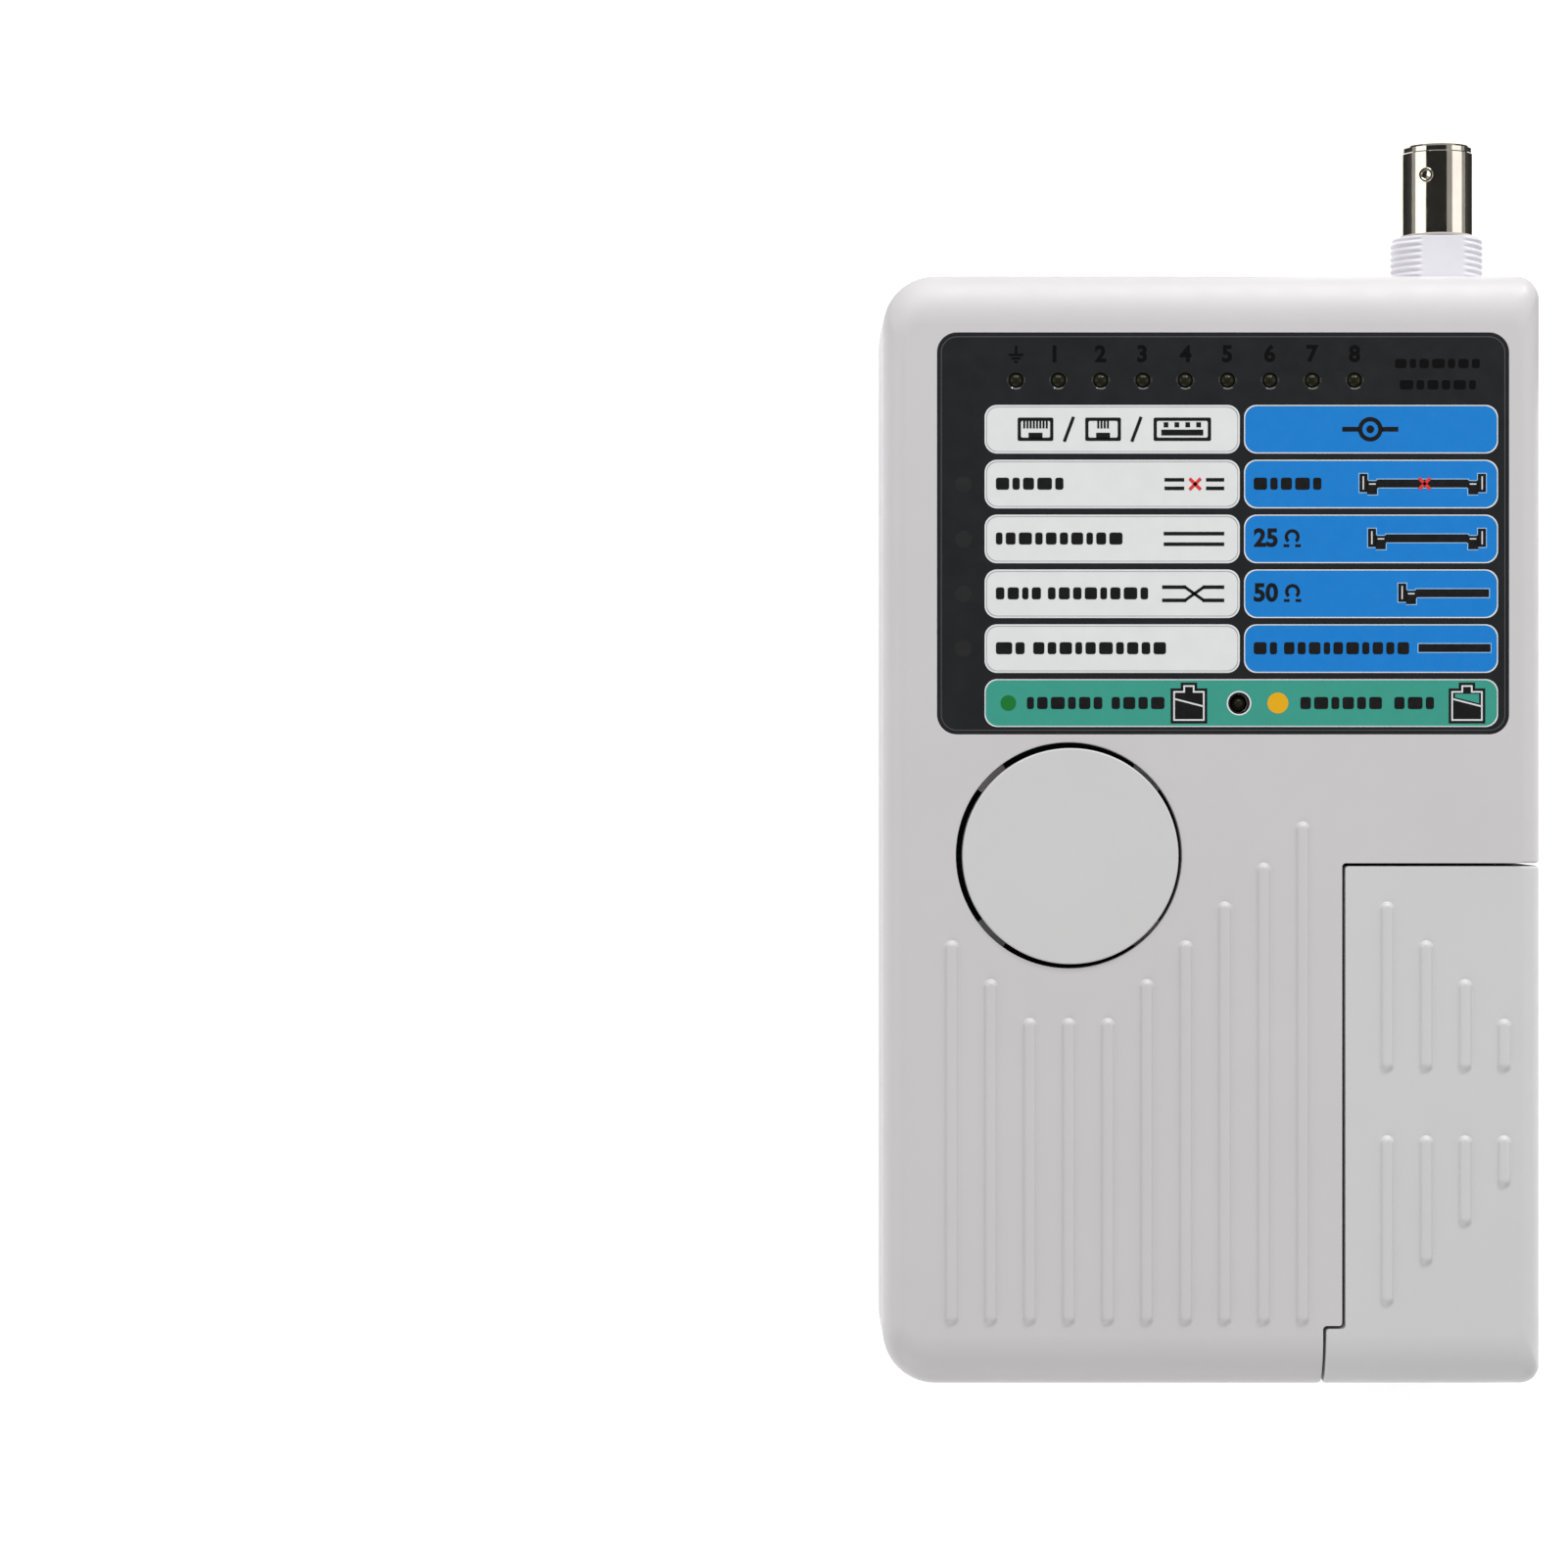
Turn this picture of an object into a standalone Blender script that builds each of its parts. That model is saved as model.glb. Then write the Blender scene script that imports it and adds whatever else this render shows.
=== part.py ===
"""Network cable tester: a main unit with a remote that slides off its lower right corner.

Constants and shapes are in millimetres, and meshes are made in metres.
The origin is the centre of the flat back, +X is right, +Y is towards the coaxial
connector and +Z comes out of the front face.
"""

import math

import bmesh
import bpy
from mathutils import Vector

MM = 0.001
GAP = 0.3                   # clearance between neighbouring pieces

# Casing
HALF_WIDTH = 42.5
HALF_LENGTH = 71.7
FRONT_Z = 24.5              # front face, below the ribs and the button
RIB_TOP_Z = 25.0
PART_Z = 12.5               # parting plane of the casing halves
WALL = 2.0
SIDE_FILLET = 3.4           # how far the front edge's rounding reaches in from the sides
END_FILLET = 5.2            # and from the two ends
FILLET_DROP = 3.4
FILLET_STEPS = 4
BACK_FILLET = 1.0
JOINT_BREAK = 0.15          # broken edge along the line between the two units
LEFT_CORNER = 6.8
TOP_RIGHT_CORNER = 3.0
LOW_RIGHT_CORNER = 2.4
SMALL_CORNER = 0.4
CONCAVE_CORNER = 1.0        # largest rounding where an outline turns inwards
SEAM = GAP / 2 + 0.1        # how far the bosses and the rail stay off the parting plane

# Remote's outline
REMOTE_LEFT = 16.95
REMOTE_TOP = -4.65
FOOT_LEFT = 14.5            # the foot that stops the remote as it slides in
FOOT_TOP = -64.25
REMOTE_CAVITY_LEFT = 21.3
REMOTE_MID_X = 31.0

# Dovetail rail along the side of the main unit
RAIL_START, RAIL_END = -62.0, -5.5
RAIL_NECK = 1.0             # half height of the neck and the head, from the parting plane
RAIL_HEAD = 2.0
RAIL_HEAD_X = 18.0
RAIL_TIP_X = 19.2

# Grip ribs
RIB_HALF_WIDTH = 0.7
RIB_PITCH = 5.02
RIB_FOOT = 0.5              # how far a rib runs into the face, and its straight side above it
RIB_SIDE = 0.2
RIB_X = -33.7
RIB_BOTTOM = -63.6
RIB_TOPS = (-14.5, -19.5, -24.5, -24.5, -24.5, -19.5, -14.5, -9.5, -4.5, 0.8)
REMOTE_RIB_X = 22.35
UPPER_RIB_BOTTOM = -31.0
UPPER_RIB_TOPS = (-9.5, -14.5, -19.5, -24.6)
LOWER_RIB_TOP = -39.6
LOWER_RIB_BOTTOMS = (-61.1, -55.9, -50.9, -45.9)

# Label and lamps
LABEL_X = (-35.4, 37.9)
LABEL_Y = (12.45, 63.85)
LABEL_Z = (24.05, 24.45)
LABEL_CORNER = 2.4
RECESS_Z = 23.75
RECESS_MARGIN = 0.25
PIN_LED_X, PIN_LED_PITCH, PIN_LED_Y = -25.4, 5.45, 57.9
PIN_NAMES = ("shield", "1", "2", "3", "4", "5", "6", "7", "8")
ROW_LED_X = -32.2
ROW_LED_Y = (44.5, 37.42, 30.37, 23.35)
BATTERY_LED = (3.3, 16.3)
LED_RADIUS = 1.5
LED_HOLE = 1.8
LED_TOP_Z = 24.55
ROW_LED_TOP_Z = 23.45
BATTERY_LED_RADIUS = 1.0
BATTERY_LED_HOLE = 1.3
DOME_STEPS = 2

# Test button and its switch
BUTTON = (-18.6, -3.3)
BUTTON_RADIUS = 13.9
BUTTON_HOLE = 14.55
BUTTON_FLANGE = 15.6
BUTTON_Z = (21.0, 22.2, 25.0)   # under the flange, over it, and the top
SWITCH_HALF = 3.0
SWITCH_Z = (17.3, 19.7)
SWITCH_FLOOR = 0.35
PLUNGER_Z = (18.9, 20.7)
PLUNGER_RADIUS = 1.75

# Circuit boards
PCB_Z = (15.4, 17.0)
PCB_X = (-39.0, 21.5)
PCB_Y = (-13.0, 68.8)
PCB_NOTCH = (-33.6, 57.5)       # the corner cut away for a screw boss
PCB_STEP = (14.2, -1.9)         # and the one cut away for the remote
REMOTE_PCB_X = (22.0, 40.0)
REMOTE_PCB_Y = (-68.5, -8.0)
BELOW_PCB = PCB_Z[0] - GAP
ABOVE_PCB = PCB_Z[1] + GAP
POSTS = ((-36.2, 15.0), (-36.2, 51.0), (18.6, 9.5), (18.6, 46.0))
POST_RADIUS = 2.0
CHIP_X, CHIP_Y, CHIP_HEIGHT = (2.0, 12.2), (28.0, 35.5), 2.4
CAPACITOR = (-8.0, 24.0)
CAPACITOR_RADIUS, CAPACITOR_HEIGHT = 3.15, 4.6
LOADS_HALF, LOADS_Y, LOADS_HEIGHT = 6.4, (-40.0, -37.2), 3.4

# Sockets: the centre line, width, height and depth of each housing
RJ45_X, RJ11_X, USB_A_X = -24.0, -6.5, 10.5
RJ45_SIZE = (16.0, 12.5, 18.0)
RJ11_SIZE = (13.2, 12.5, 18.0)
USB_A_SIZE = (13.1, 5.7, 14.5)
USB_B_SIZE = (12.0, 10.8, 16.0)
RJ45_PLUG = (11.9, 8.0, 14.0)
RJ11_PLUG = (9.8, 8.0, 14.0)
LATCH_WIDTH = 6.2
LATCH_DEPTH = 1.9
LATCH_FLOOR = 1.1
CONTACT_PITCH = 1.02
CONTACT_HALF = 0.22             # half width of one contact
CONTACT_SHEET = 0.35
CONTACT_DIP = 1.6
CONTACT_BAR = 1.2
CONTACT_TIP = 4.0               # how far the contacts' tips stay behind the mouth
USB_SHEET = 0.5
USB_BACK = 1.0
USB_A_TONGUE = (5.4, 0.9, 3.7)  # half width, half height, and middle above the shell's floor
USB_B_TONGUE = (2.8, 1.6, 5.4)
SOCKET_SETBACK = 0.3

# Coaxial connector
BNC_X, BNC_Z = 30.8, 12.5
BASE_START, BASE_END = 63.0, 77.5
BASE_BORE, BASE_RADIUS, BASE_SHOULDER = 3.9, 6.0, 7.0
BASE_FLAT = 5.1                 # from the axis to each of the two flats
THREADS, THREAD_DEPTH = 4, 0.4
BARREL_START, BARREL_END = 62.0, 89.8
BARREL_RADIUS = 4.8
BARREL_STEM, BARREL_BORE = 3.6, 2.7
BARREL_MOUTH, BARREL_FLOOR = 4.05, 79.8
LUG_Y, LUG_RADIUS = 85.5, 0.95
LUG_REACH = (4.4, 5.6)          # from the axis to the lug's root and tip
LUG_TURN = -24                  # degrees from straight up, about +Y
DIELECTRIC_RADIUS, DIELECTRIC_BORE, DIELECTRIC_END = 2.4, 1.4, 85.8
CONTACT_RADIUS, CONTACT_START, CONTACT_END = 1.05, 61.0, 87.1

# Battery, its snap and its door
BATTERY_X = -18.6
BATTERY_HALF = (13.25, 8.75)
BATTERY_Y = (-69.0, -22.6)
BATTERY_MID_Z = 12.35
BATTERY_CORNER = 2.2
TERMINALS = ((-6.35, 2.9), (6.35, 4.2))     # each one's place across the battery, and radius
TERMINAL_TOP = -20.5
SNAP_HALF = (13.0, 6.3)
SNAP_THICKNESS = 2.3
SNAP_WALL = 0.8
SNAP_Y = (TERMINAL_TOP + 2 * GAP, TERMINAL_TOP + 2 * GAP + SNAP_THICKNESS)
FOAM_HALF, FOAM_Y = 9.0, (-60.0, -32.0)
DOOR_HALF = 14.2
DOOR_FLANGE_HALF = 15.3
DOOR_Z = (0.3, 2.3, 3.1)
DOOR_Y = (-71.3, -19.3)
DOOR_TOE = (1.0, 1.3)           # length of the slope at the door's outer end, and its height there
GRIP_GROOVES = 5
GRIP_START, GRIP_PITCH, GRIP_WIDTH, GRIP_DEPTH, GRIP_HALF = -62.0, 2.4, 1.2, 0.6, 6.0
BAY_SIDE_X = BATTERY_X + DOOR_FLANGE_HALF + 0.7
BAY_WALL = 1.2
BAY_LEFT, BAY_TOP_Y = -34.0, (-16.6, -15.4)
BAY_SIDE_HEIGHT, BAY_TOP_HEIGHT = 14.0, 9.0

# Case screws
MAIN_SCREWS = ((-37.7, 62.0), (37.7, 52.0), (-37.7, -62.0), (9.8, -64.0))
REMOTE_SCREWS = ((REMOTE_MID_X, -29.0), (REMOTE_MID_X, -48.0))
BOSS_RADIUS = 3.2
SCREW_HEAD_RADIUS = 2.2
SCREW_RADIUS = 1.2
SCREW_Z = (0.5, 2.1, 19.5)
RECESS_ARM, RECESS_HALF, RECESS_DEPTH = 1.1, 0.3, 0.9

# Battery leads
LEAD_RADIUS = 0.7
LEAD_START_Y = SNAP_Y[1] + GAP
LEAD_ROUTES = {
    "battery_lead_red": (
        (-26.0, LEAD_START_Y, 12.2),
        (-26.0, -15.4, 12.2),
        (-26.6, -13.0, 12.3),
        (-27.4, -10.4, 12.8),
        (-28.0, -8.8, 14.0),
        (-28.0, -8.4, BELOW_PCB),
    ),
    "battery_lead_black": (
        (-11.0, LEAD_START_Y, 12.2),
        (-11.0, -15.4, 12.2),
        (-10.8, -13.0, 12.3),
        (-10.2, -10.4, 12.8),
        (-9.8, -8.8, 14.0),
        (-9.8, -8.4, BELOW_PCB),
    ),
}
LEAD_MATERIALS = {"battery_lead_red": "red_lead", "battery_lead_black": "black_lead"}

# Outlines. Each corner is (x, y, radius, whether the edge that leaves it faces the other unit).
MAIN_CORNERS = (
    (-HALF_WIDTH, -HALF_LENGTH, LEFT_CORNER, False),
    (FOOT_LEFT - GAP, -HALF_LENGTH, SMALL_CORNER, True),
    (FOOT_LEFT - GAP, FOOT_TOP + GAP, SMALL_CORNER, True),
    (REMOTE_LEFT - GAP, FOOT_TOP + GAP, SMALL_CORNER, True),
    (REMOTE_LEFT - GAP, REMOTE_TOP + GAP, SMALL_CORNER, True),
    (HALF_WIDTH, REMOTE_TOP + GAP, SMALL_CORNER, False),
    (HALF_WIDTH, HALF_LENGTH, TOP_RIGHT_CORNER, False),
    (-HALF_WIDTH, HALF_LENGTH, LEFT_CORNER, False),
)
REMOTE_CORNERS = (
    (FOOT_LEFT, -HALF_LENGTH, SMALL_CORNER, False),
    (HALF_WIDTH, -HALF_LENGTH, LOW_RIGHT_CORNER, False),
    (HALF_WIDTH, REMOTE_TOP, SMALL_CORNER, True),
    (REMOTE_LEFT, REMOTE_TOP, SMALL_CORNER, True),
    (REMOTE_LEFT, FOOT_TOP, SMALL_CORNER, True),
    (FOOT_LEFT, FOOT_TOP, SMALL_CORNER, True),
)

# sRGB colour, roughness and metallic value of each material
MATERIALS = {
    "casing_abs": ((198, 196, 197), 0.45, 0.0),
    "remote_abs": ((198, 198, 198), 0.45, 0.0),
    "button_abs": ((200, 199, 200), 0.45, 0.0),
    "label_film": ((42, 43, 44), 0.35, 0.0),
    "led_lens": ((58, 60, 40), 0.2, 0.0),
    "circuit_board": ((28, 92, 58), 0.45, 0.0),
    "chip_black": ((28, 28, 30), 0.5, 0.0),
    "socket_plastic": ((34, 34, 36), 0.45, 0.0),
    "contact_gold": ((214, 170, 92), 0.3, 1.0),
    "plated_steel": ((190, 190, 192), 0.3, 1.0),
    "nickel": ((196, 190, 180), 0.22, 1.0),
    "white_plastic": ((232, 231, 235), 0.4, 0.0),
    "battery_jacket": ((48, 60, 92), 0.35, 0.0),
    "red_lead": ((176, 30, 28), 0.4, 0.0),
    "black_lead": ((26, 26, 26), 0.4, 0.0),
    "foam": ((70, 70, 72), 0.95, 0.0),
    "screw_steel": ((150, 150, 152), 0.35, 1.0),
}


def linear(value):
    """One sRGB channel, 0 to 255, as linear light."""
    share = value / 255
    if share <= 0.04045:
        return share / 12.92
    return ((share + 0.055) / 1.055) ** 2.4


def make_material(name):
    colour, roughness, metallic = MATERIALS[name]
    material = bpy.data.materials.new(name)
    material.use_nodes = True
    shader = material.node_tree.nodes["Principled BSDF"]
    shader.inputs["Base Color"].default_value = (*map(linear, colour), 1)
    shader.inputs["Roughness"].default_value = roughness
    shader.inputs["Metallic"].default_value = metallic
    return material


# Shapes: each is a pair of points and faces

def loft(rings, ring_closed=False):
    """A skin over rings of equal length, capped at both ends or joined round."""
    count = len(rings[0])
    points = [point for ring in rings for point in ring]
    faces = []
    last = len(rings) if ring_closed else len(rings) - 1
    for row in range(last):
        low = row * count
        high = (row + 1) % len(rings) * count
        for i in range(count):
            j = (i + 1) % count
            faces.append((low + i, low + j, high + j, high + i))
    if not ring_closed:
        faces.append(tuple(reversed(range(count))))
        faces.append(tuple(range(len(points) - count, len(points))))
    return points, faces


def prism(outline, low, high, axis="Z"):
    """An outline pushed along an axis. Along Y, it is given as X and Z."""
    if axis == "Y":
        return loft([[(x, level, z) for x, z in outline] for level in (low, high)])
    return loft([[(x, y, level) for x, y in outline] for level in (low, high)])


def block(x, y, z):
    return prism(((x[0], y[0]), (x[1], y[0]), (x[1], y[1]), (x[0], y[1])), *z)


def circle(centre, radius, segments):
    turns = [math.tau * i / segments for i in range(segments)]
    return [(centre[0] + radius * math.cos(t), centre[1] + radius * math.sin(t)) for t in turns]


def turned(profile, centre, axis="Z", segments=24, bored=False):
    """A profile of (radius, level) pairs turned about an axis; a bored one closes on itself."""
    rings = []
    for radius, level in profile:
        ring = circle(centre, radius, segments)
        if axis == "Y":
            rings.append([(x, level, z) for x, z in ring])
        else:
            rings.append([(x, y, level) for x, y in ring])
    return loft(rings, ring_closed=bored)


def rod(centre, radius, low, high, axis="Z", segments=24):
    return turned(((radius, low), (radius, high)), centre, axis, segments)


def stadium(x, low, high, half_width, z, steps=4):
    """A bar along Y with round ends, a little narrower at its top."""
    rings = []
    for level, half in zip(z, (half_width, half_width, half_width * 0.65)):
        ring = []
        for end_y, start in ((high - half_width, 0), (low + half_width, math.pi)):
            for step in range(steps + 1):
                turn = start + math.pi * step / steps
                ring.append((x + half * math.cos(turn), end_y + half * math.sin(turn), level))
        rings.append(ring)
    return loft(rings)


def outline(corners, side=0.0, end=0.0, joint=0.0):
    """Anticlockwise points of a right-angled outline, with its edges moved inwards.

    side moves the edges that face X, end those that face Y, and joint those that face
    the other unit.
    """
    points = []
    for i, (x, y, radius, faces_unit) in enumerate(corners):
        before, after = corners[i - 1], corners[(i + 1) % len(corners)]
        heading_in = Vector((x - before[0], y - before[1])).normalized()
        heading_out = Vector((after[0] - x, after[1] - y)).normalized()
        corner = Vector((x, y))
        insets = []
        for heading, facing in ((heading_in, before[3]), (heading_out, faces_unit)):
            inset = joint if facing else (side if abs(heading.y) > 0.5 else end)
            corner += Vector((-heading.y, heading.x)) * inset
            insets.append(inset)
        convex = heading_in.cross(heading_out) > 0
        change = -sum(insets) / 2 if convex else sum(insets) / 2
        rounding = max(radius + change, SMALL_CORNER)
        if not convex:
            rounding = min(rounding, CONCAVE_CORNER)
        steps = 6 if radius > 2 else 2
        middle = corner - heading_in * rounding + heading_out * rounding
        for step in range(steps + 1):
            turn = math.pi / 2 * step / steps
            spoke = heading_in * math.sin(turn) - heading_out * math.cos(turn)
            points.append(tuple(middle + spoke * rounding))
    return points


def at_level(points, level):
    return [(x, y, level) for x, y in points]


def front_body(corners):
    """The solid front half: straight sides, then the rounding up to the front face."""
    rings = [at_level(outline(corners), PART_Z + GAP / 2)]
    for step in range(FILLET_STEPS + 1):
        turn = math.pi / 2 * step / FILLET_STEPS
        reach = 1 - math.cos(turn)
        ring = outline(corners, SIDE_FILLET * reach, END_FILLET * reach, JOINT_BREAK * reach)
        rings.append(at_level(ring, FRONT_Z - FILLET_DROP * (1 - math.sin(turn))))
    return loft(rings)


def back_body(corners):
    """The solid back half, with a small rounding at the back."""
    return loft([
        at_level(outline(corners, BACK_FILLET, BACK_FILLET, JOINT_BREAK), 0),
        at_level(outline(corners, BACK_FILLET * 0.3, BACK_FILLET * 0.3, JOINT_BREAK), BACK_FILLET * 0.3),
        at_level(outline(corners), BACK_FILLET),
        at_level(outline(corners), PART_Z - GAP / 2),
    ])


# Objects

def clear_scene():
    for obj in list(bpy.data.objects):
        bpy.data.objects.remove(obj)


def mesh_of(name, shapes, origin):
    """One mesh from shapes in millimetres, measured from the origin, with faces out."""
    builder = bmesh.new()
    for points, faces in shapes:
        verts = [builder.verts.new((Vector(p) - Vector(origin)) * MM) for p in points]
        for face in faces:
            builder.faces.new([verts[i] for i in face])
    bmesh.ops.recalc_face_normals(builder, faces=builder.faces)
    mesh = bpy.data.meshes.new(name)
    builder.to_mesh(mesh)
    builder.free()
    return mesh


def place(name, data, origin, parent=None):
    obj = bpy.data.objects.new(name, data)
    bpy.context.scene.collection.objects.link(obj)
    obj.location = Vector(origin) * MM
    if parent:
        obj.parent = parent
        obj.location -= parent.location
    return obj


def piece(name, material, shapes, origin=(0, 0, 0), parent=None, smooth=False):
    mesh = mesh_of(name, shapes, origin)
    mesh.materials.append(material)
    if smooth:
        mesh.shade_smooth()
        mesh.set_sharp_from_angle(angle=math.radians(35))
    return place(name, mesh, origin, parent)


def change(target, operation, suffix, shapes):
    """Adds or cuts shapes with a Boolean whose helper stays out of renders."""
    name = f"{target.name}_{suffix}"
    helper = place(name, mesh_of(name, shapes, (0, 0, 0)), (0, 0, 0))
    helper.hide_render = True
    helper.display_type = "WIRE"
    modifier = target.modifiers.new(suffix, "BOOLEAN")
    modifier.operation = operation
    modifier.solver = "EXACT"
    modifier.object = helper


def add(target, suffix, shapes):
    change(target, "UNION", suffix, shapes)


def cut(target, suffix, shapes):
    change(target, "DIFFERENCE", suffix, shapes)


# Casing

def socket_windows():
    """Cutters that open the top end for the sockets and the coaxial connector."""
    through = (HALF_LENGTH - WALL - 0.6, HALF_LENGTH + 1)
    shapes = []
    for x, size in ((RJ45_X, RJ45_SIZE), (RJ11_X, RJ11_SIZE), (USB_A_X, USB_A_SIZE)):
        half = size[0] / 2 + GAP
        z = (BELOW_PCB - size[1] - GAP, BELOW_PCB + GAP)
        shapes.append(block((x - half, x + half), through, z))
    shapes.append(rod((BNC_X, BNC_Z), BASE_RADIUS + GAP, *through, axis="Y", segments=32))
    return shapes


def rail(sign):
    """Half of the T-shaped rail, on the front or the back of the parting plane."""
    start = PART_Z + sign * SEAM
    neck = PART_Z + sign * RAIL_NECK
    head = PART_Z + sign * RAIL_HEAD
    wall_x = REMOTE_LEFT - GAP - WALL / 2
    profile = (
        (wall_x, start),
        (RAIL_TIP_X, start),
        (RAIL_TIP_X, head),
        (RAIL_HEAD_X, head),
        (RAIL_HEAD_X, neck),
        (wall_x, neck),
    )
    return prism(profile, RAIL_START, RAIL_END, axis="Y")


def groove():
    """The T-shaped slot in the remote that takes the rail, open at the remote's top."""
    neck, head = RAIL_NECK + GAP, RAIL_HEAD + GAP
    lip_x, floor_x = RAIL_HEAD_X - GAP, RAIL_TIP_X + GAP
    mouth_x = REMOTE_LEFT - 1
    profile = (
        (mouth_x, PART_Z - neck),
        (lip_x, PART_Z - neck),
        (lip_x, PART_Z - head),
        (floor_x, PART_Z - head),
        (floor_x, PART_Z + head),
        (lip_x, PART_Z + head),
        (lip_x, PART_Z + neck),
        (mouth_x, PART_Z + neck),
    )
    return prism(profile, RAIL_START - 2 * GAP, REMOTE_TOP + 1, axis="Y")


def screw_bosses(places, low, high):
    return [rod(xy, BOSS_RADIUS, low, high, segments=14) for xy in places]


def pilot_holes(places):
    return [rod(xy, SCREW_RADIUS + GAP, PART_Z - 1, SCREW_Z[2] + GAP, segments=12) for xy in places]


def screw_wells(places):
    """Stepped holes from the back, for the screws' heads and shanks."""
    head, shank = SCREW_HEAD_RADIUS + GAP, SCREW_RADIUS + GAP
    floor = SCREW_Z[1] + GAP
    profile = ((head, -1), (head, floor), (shank, floor), (shank, PART_Z + 1))
    return [turned(profile, xy, segments=16) for xy in places]


def rib_bars(x, pitch, spans):
    z = (FRONT_Z - RIB_FOOT, FRONT_Z + RIB_SIDE, RIB_TOP_Z)
    return [stadium(x + pitch * i, low, high, RIB_HALF_WIDTH, z) for i, (low, high) in enumerate(spans)]


def lamp_holes(low, high, with_rows):
    holes = [rod((x, PIN_LED_Y), LED_HOLE, low, high, segments=12) for x in pin_led_places()]
    if with_rows:
        holes += [rod((ROW_LED_X, y), LED_HOLE, low, high, segments=12) for y in ROW_LED_Y]
    holes.append(rod(BATTERY_LED, BATTERY_LED_HOLE, low, high, segments=12))
    return holes


def pin_led_places():
    return [PIN_LED_X + PIN_LED_PITCH * i for i in range(len(PIN_NAMES))]


def label_corners(margin):
    left, right = LABEL_X[0] - margin, LABEL_X[1] + margin
    low, high = LABEL_Y[0] - margin, LABEL_Y[1] + margin
    radius = LABEL_CORNER + margin
    return tuple((x, y, radius, False) for x, y in ((left, low), (right, low), (right, high), (left, high)))


def make_main_front(material, parent):
    shell = piece("main_front_shell", material, [front_body(MAIN_CORNERS)], parent=parent)
    hollow = outline(MAIN_CORNERS, WALL, WALL, WALL)
    cut(shell, "cavity", [prism(hollow, PART_Z - 1, FRONT_Z - WALL)])
    into_plate = FRONT_Z - WALL + 0.5
    bars = rib_bars(RIB_X, RIB_PITCH, [(RIB_BOTTOM, top) for top in RIB_TOPS])
    posts = [rod(xy, POST_RADIUS, ABOVE_PCB, into_plate, segments=12) for xy in POSTS]
    bosses = screw_bosses(MAIN_SCREWS, PART_Z + SEAM, into_plate)
    add(shell, "bosses", [*bars, *posts, *bosses, rail(1)])
    recess = prism(outline(label_corners(RECESS_MARGIN)), RECESS_Z, FRONT_Z + 1)
    cut(shell, "recess", [recess])
    button_hole = rod(BUTTON, BUTTON_HOLE, FRONT_Z - WALL - 1, FRONT_Z + 1, segments=48)
    holes = [*lamp_holes(FRONT_Z - WALL - 1, FRONT_Z, True), button_hole]
    cut(shell, "holes", [*holes, *pilot_holes(MAIN_SCREWS), *socket_windows()])


def make_main_rear(material, parent):
    shell = piece("main_rear_shell", material, [back_body(MAIN_CORNERS)], parent=parent)
    hollow = outline(MAIN_CORNERS, WALL, WALL, WALL)
    cut(shell, "cavity", [prism(hollow, WALL, PART_Z + 1)])
    into_floor = WALL - 0.5
    posts = [rod(xy, POST_RADIUS, into_floor, BELOW_PCB, segments=12) for xy in POSTS]
    bosses = screw_bosses(MAIN_SCREWS, into_floor, PART_Z - SEAM)
    side_x = (BAY_SIDE_X, BAY_SIDE_X + BAY_WALL)
    side_wall = block(side_x, (BATTERY_Y[0], BAY_TOP_Y[0] - BAY_WALL), (into_floor, BAY_SIDE_HEIGHT))
    top_wall = block((BAY_LEFT, BAY_SIDE_X - GAP), BAY_TOP_Y, (into_floor, BAY_TOP_HEIGHT))
    add(shell, "bosses", [*posts, *bosses, side_wall, top_wall, rail(-1)])
    door_way = door_profile(GAP, bottom=-1, ledge=WALL + 0.05)
    doorway = prism(door_way, -HALF_LENGTH - 1, DOOR_Y[1] + GAP, axis="Y")
    cut(shell, "holes", [*screw_wells(MAIN_SCREWS), *socket_windows(), doorway])


def make_remote_front(material, parent, origin):
    shell = piece("remote_front_shell", material, [front_body(REMOTE_CORNERS)], origin, parent)
    cut(shell, "cavity", [remote_cavity(PART_Z - 1, FRONT_Z - WALL)])
    spans = [(UPPER_RIB_BOTTOM, top) for top in UPPER_RIB_TOPS]
    bars = rib_bars(REMOTE_RIB_X, RIB_PITCH, spans)
    spans = [(bottom, LOWER_RIB_TOP) for bottom in LOWER_RIB_BOTTOMS]
    bars += rib_bars(REMOTE_RIB_X, RIB_PITCH, spans)
    bosses = screw_bosses(REMOTE_SCREWS, PART_Z + GAP / 2, FRONT_Z - WALL + 0.5)
    add(shell, "bosses", [*bars, *bosses])
    cut(shell, "holes", [*pilot_holes(REMOTE_SCREWS), groove(), *remote_windows()])


def make_remote_rear(material, parent, origin):
    shell = piece("remote_rear_shell", material, [back_body(REMOTE_CORNERS)], origin, parent)
    cut(shell, "cavity", [remote_cavity(WALL, PART_Z + 1)])
    add(shell, "bosses", screw_bosses(REMOTE_SCREWS, WALL - 0.5, PART_Z - GAP / 2))
    cut(shell, "holes", [*screw_wells(REMOTE_SCREWS), groove(), *remote_windows()])


def remote_cavity(low, high):
    x = (REMOTE_CAVITY_LEFT, HALF_WIDTH - WALL)
    return block(x, (-HALF_LENGTH + WALL, REMOTE_TOP - WALL), (low, high))


def remote_windows():
    """Cutters for the remote's data socket at its top and its USB socket at its bottom."""
    top = (REMOTE_TOP - WALL - 0.6, REMOTE_TOP + 1)
    bottom = (-HALF_LENGTH - 1, -HALF_LENGTH + WALL + 0.6)
    shapes = []
    for size, y in ((RJ45_SIZE, top), (USB_B_SIZE, bottom)):
        half = size[0] / 2 + GAP
        z = (BELOW_PCB - size[1] - GAP, BELOW_PCB + GAP)
        shapes.append(block((REMOTE_MID_X - half, REMOTE_MID_X + half), y, z))
    return shapes


# Face: label, lamps and button

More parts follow.
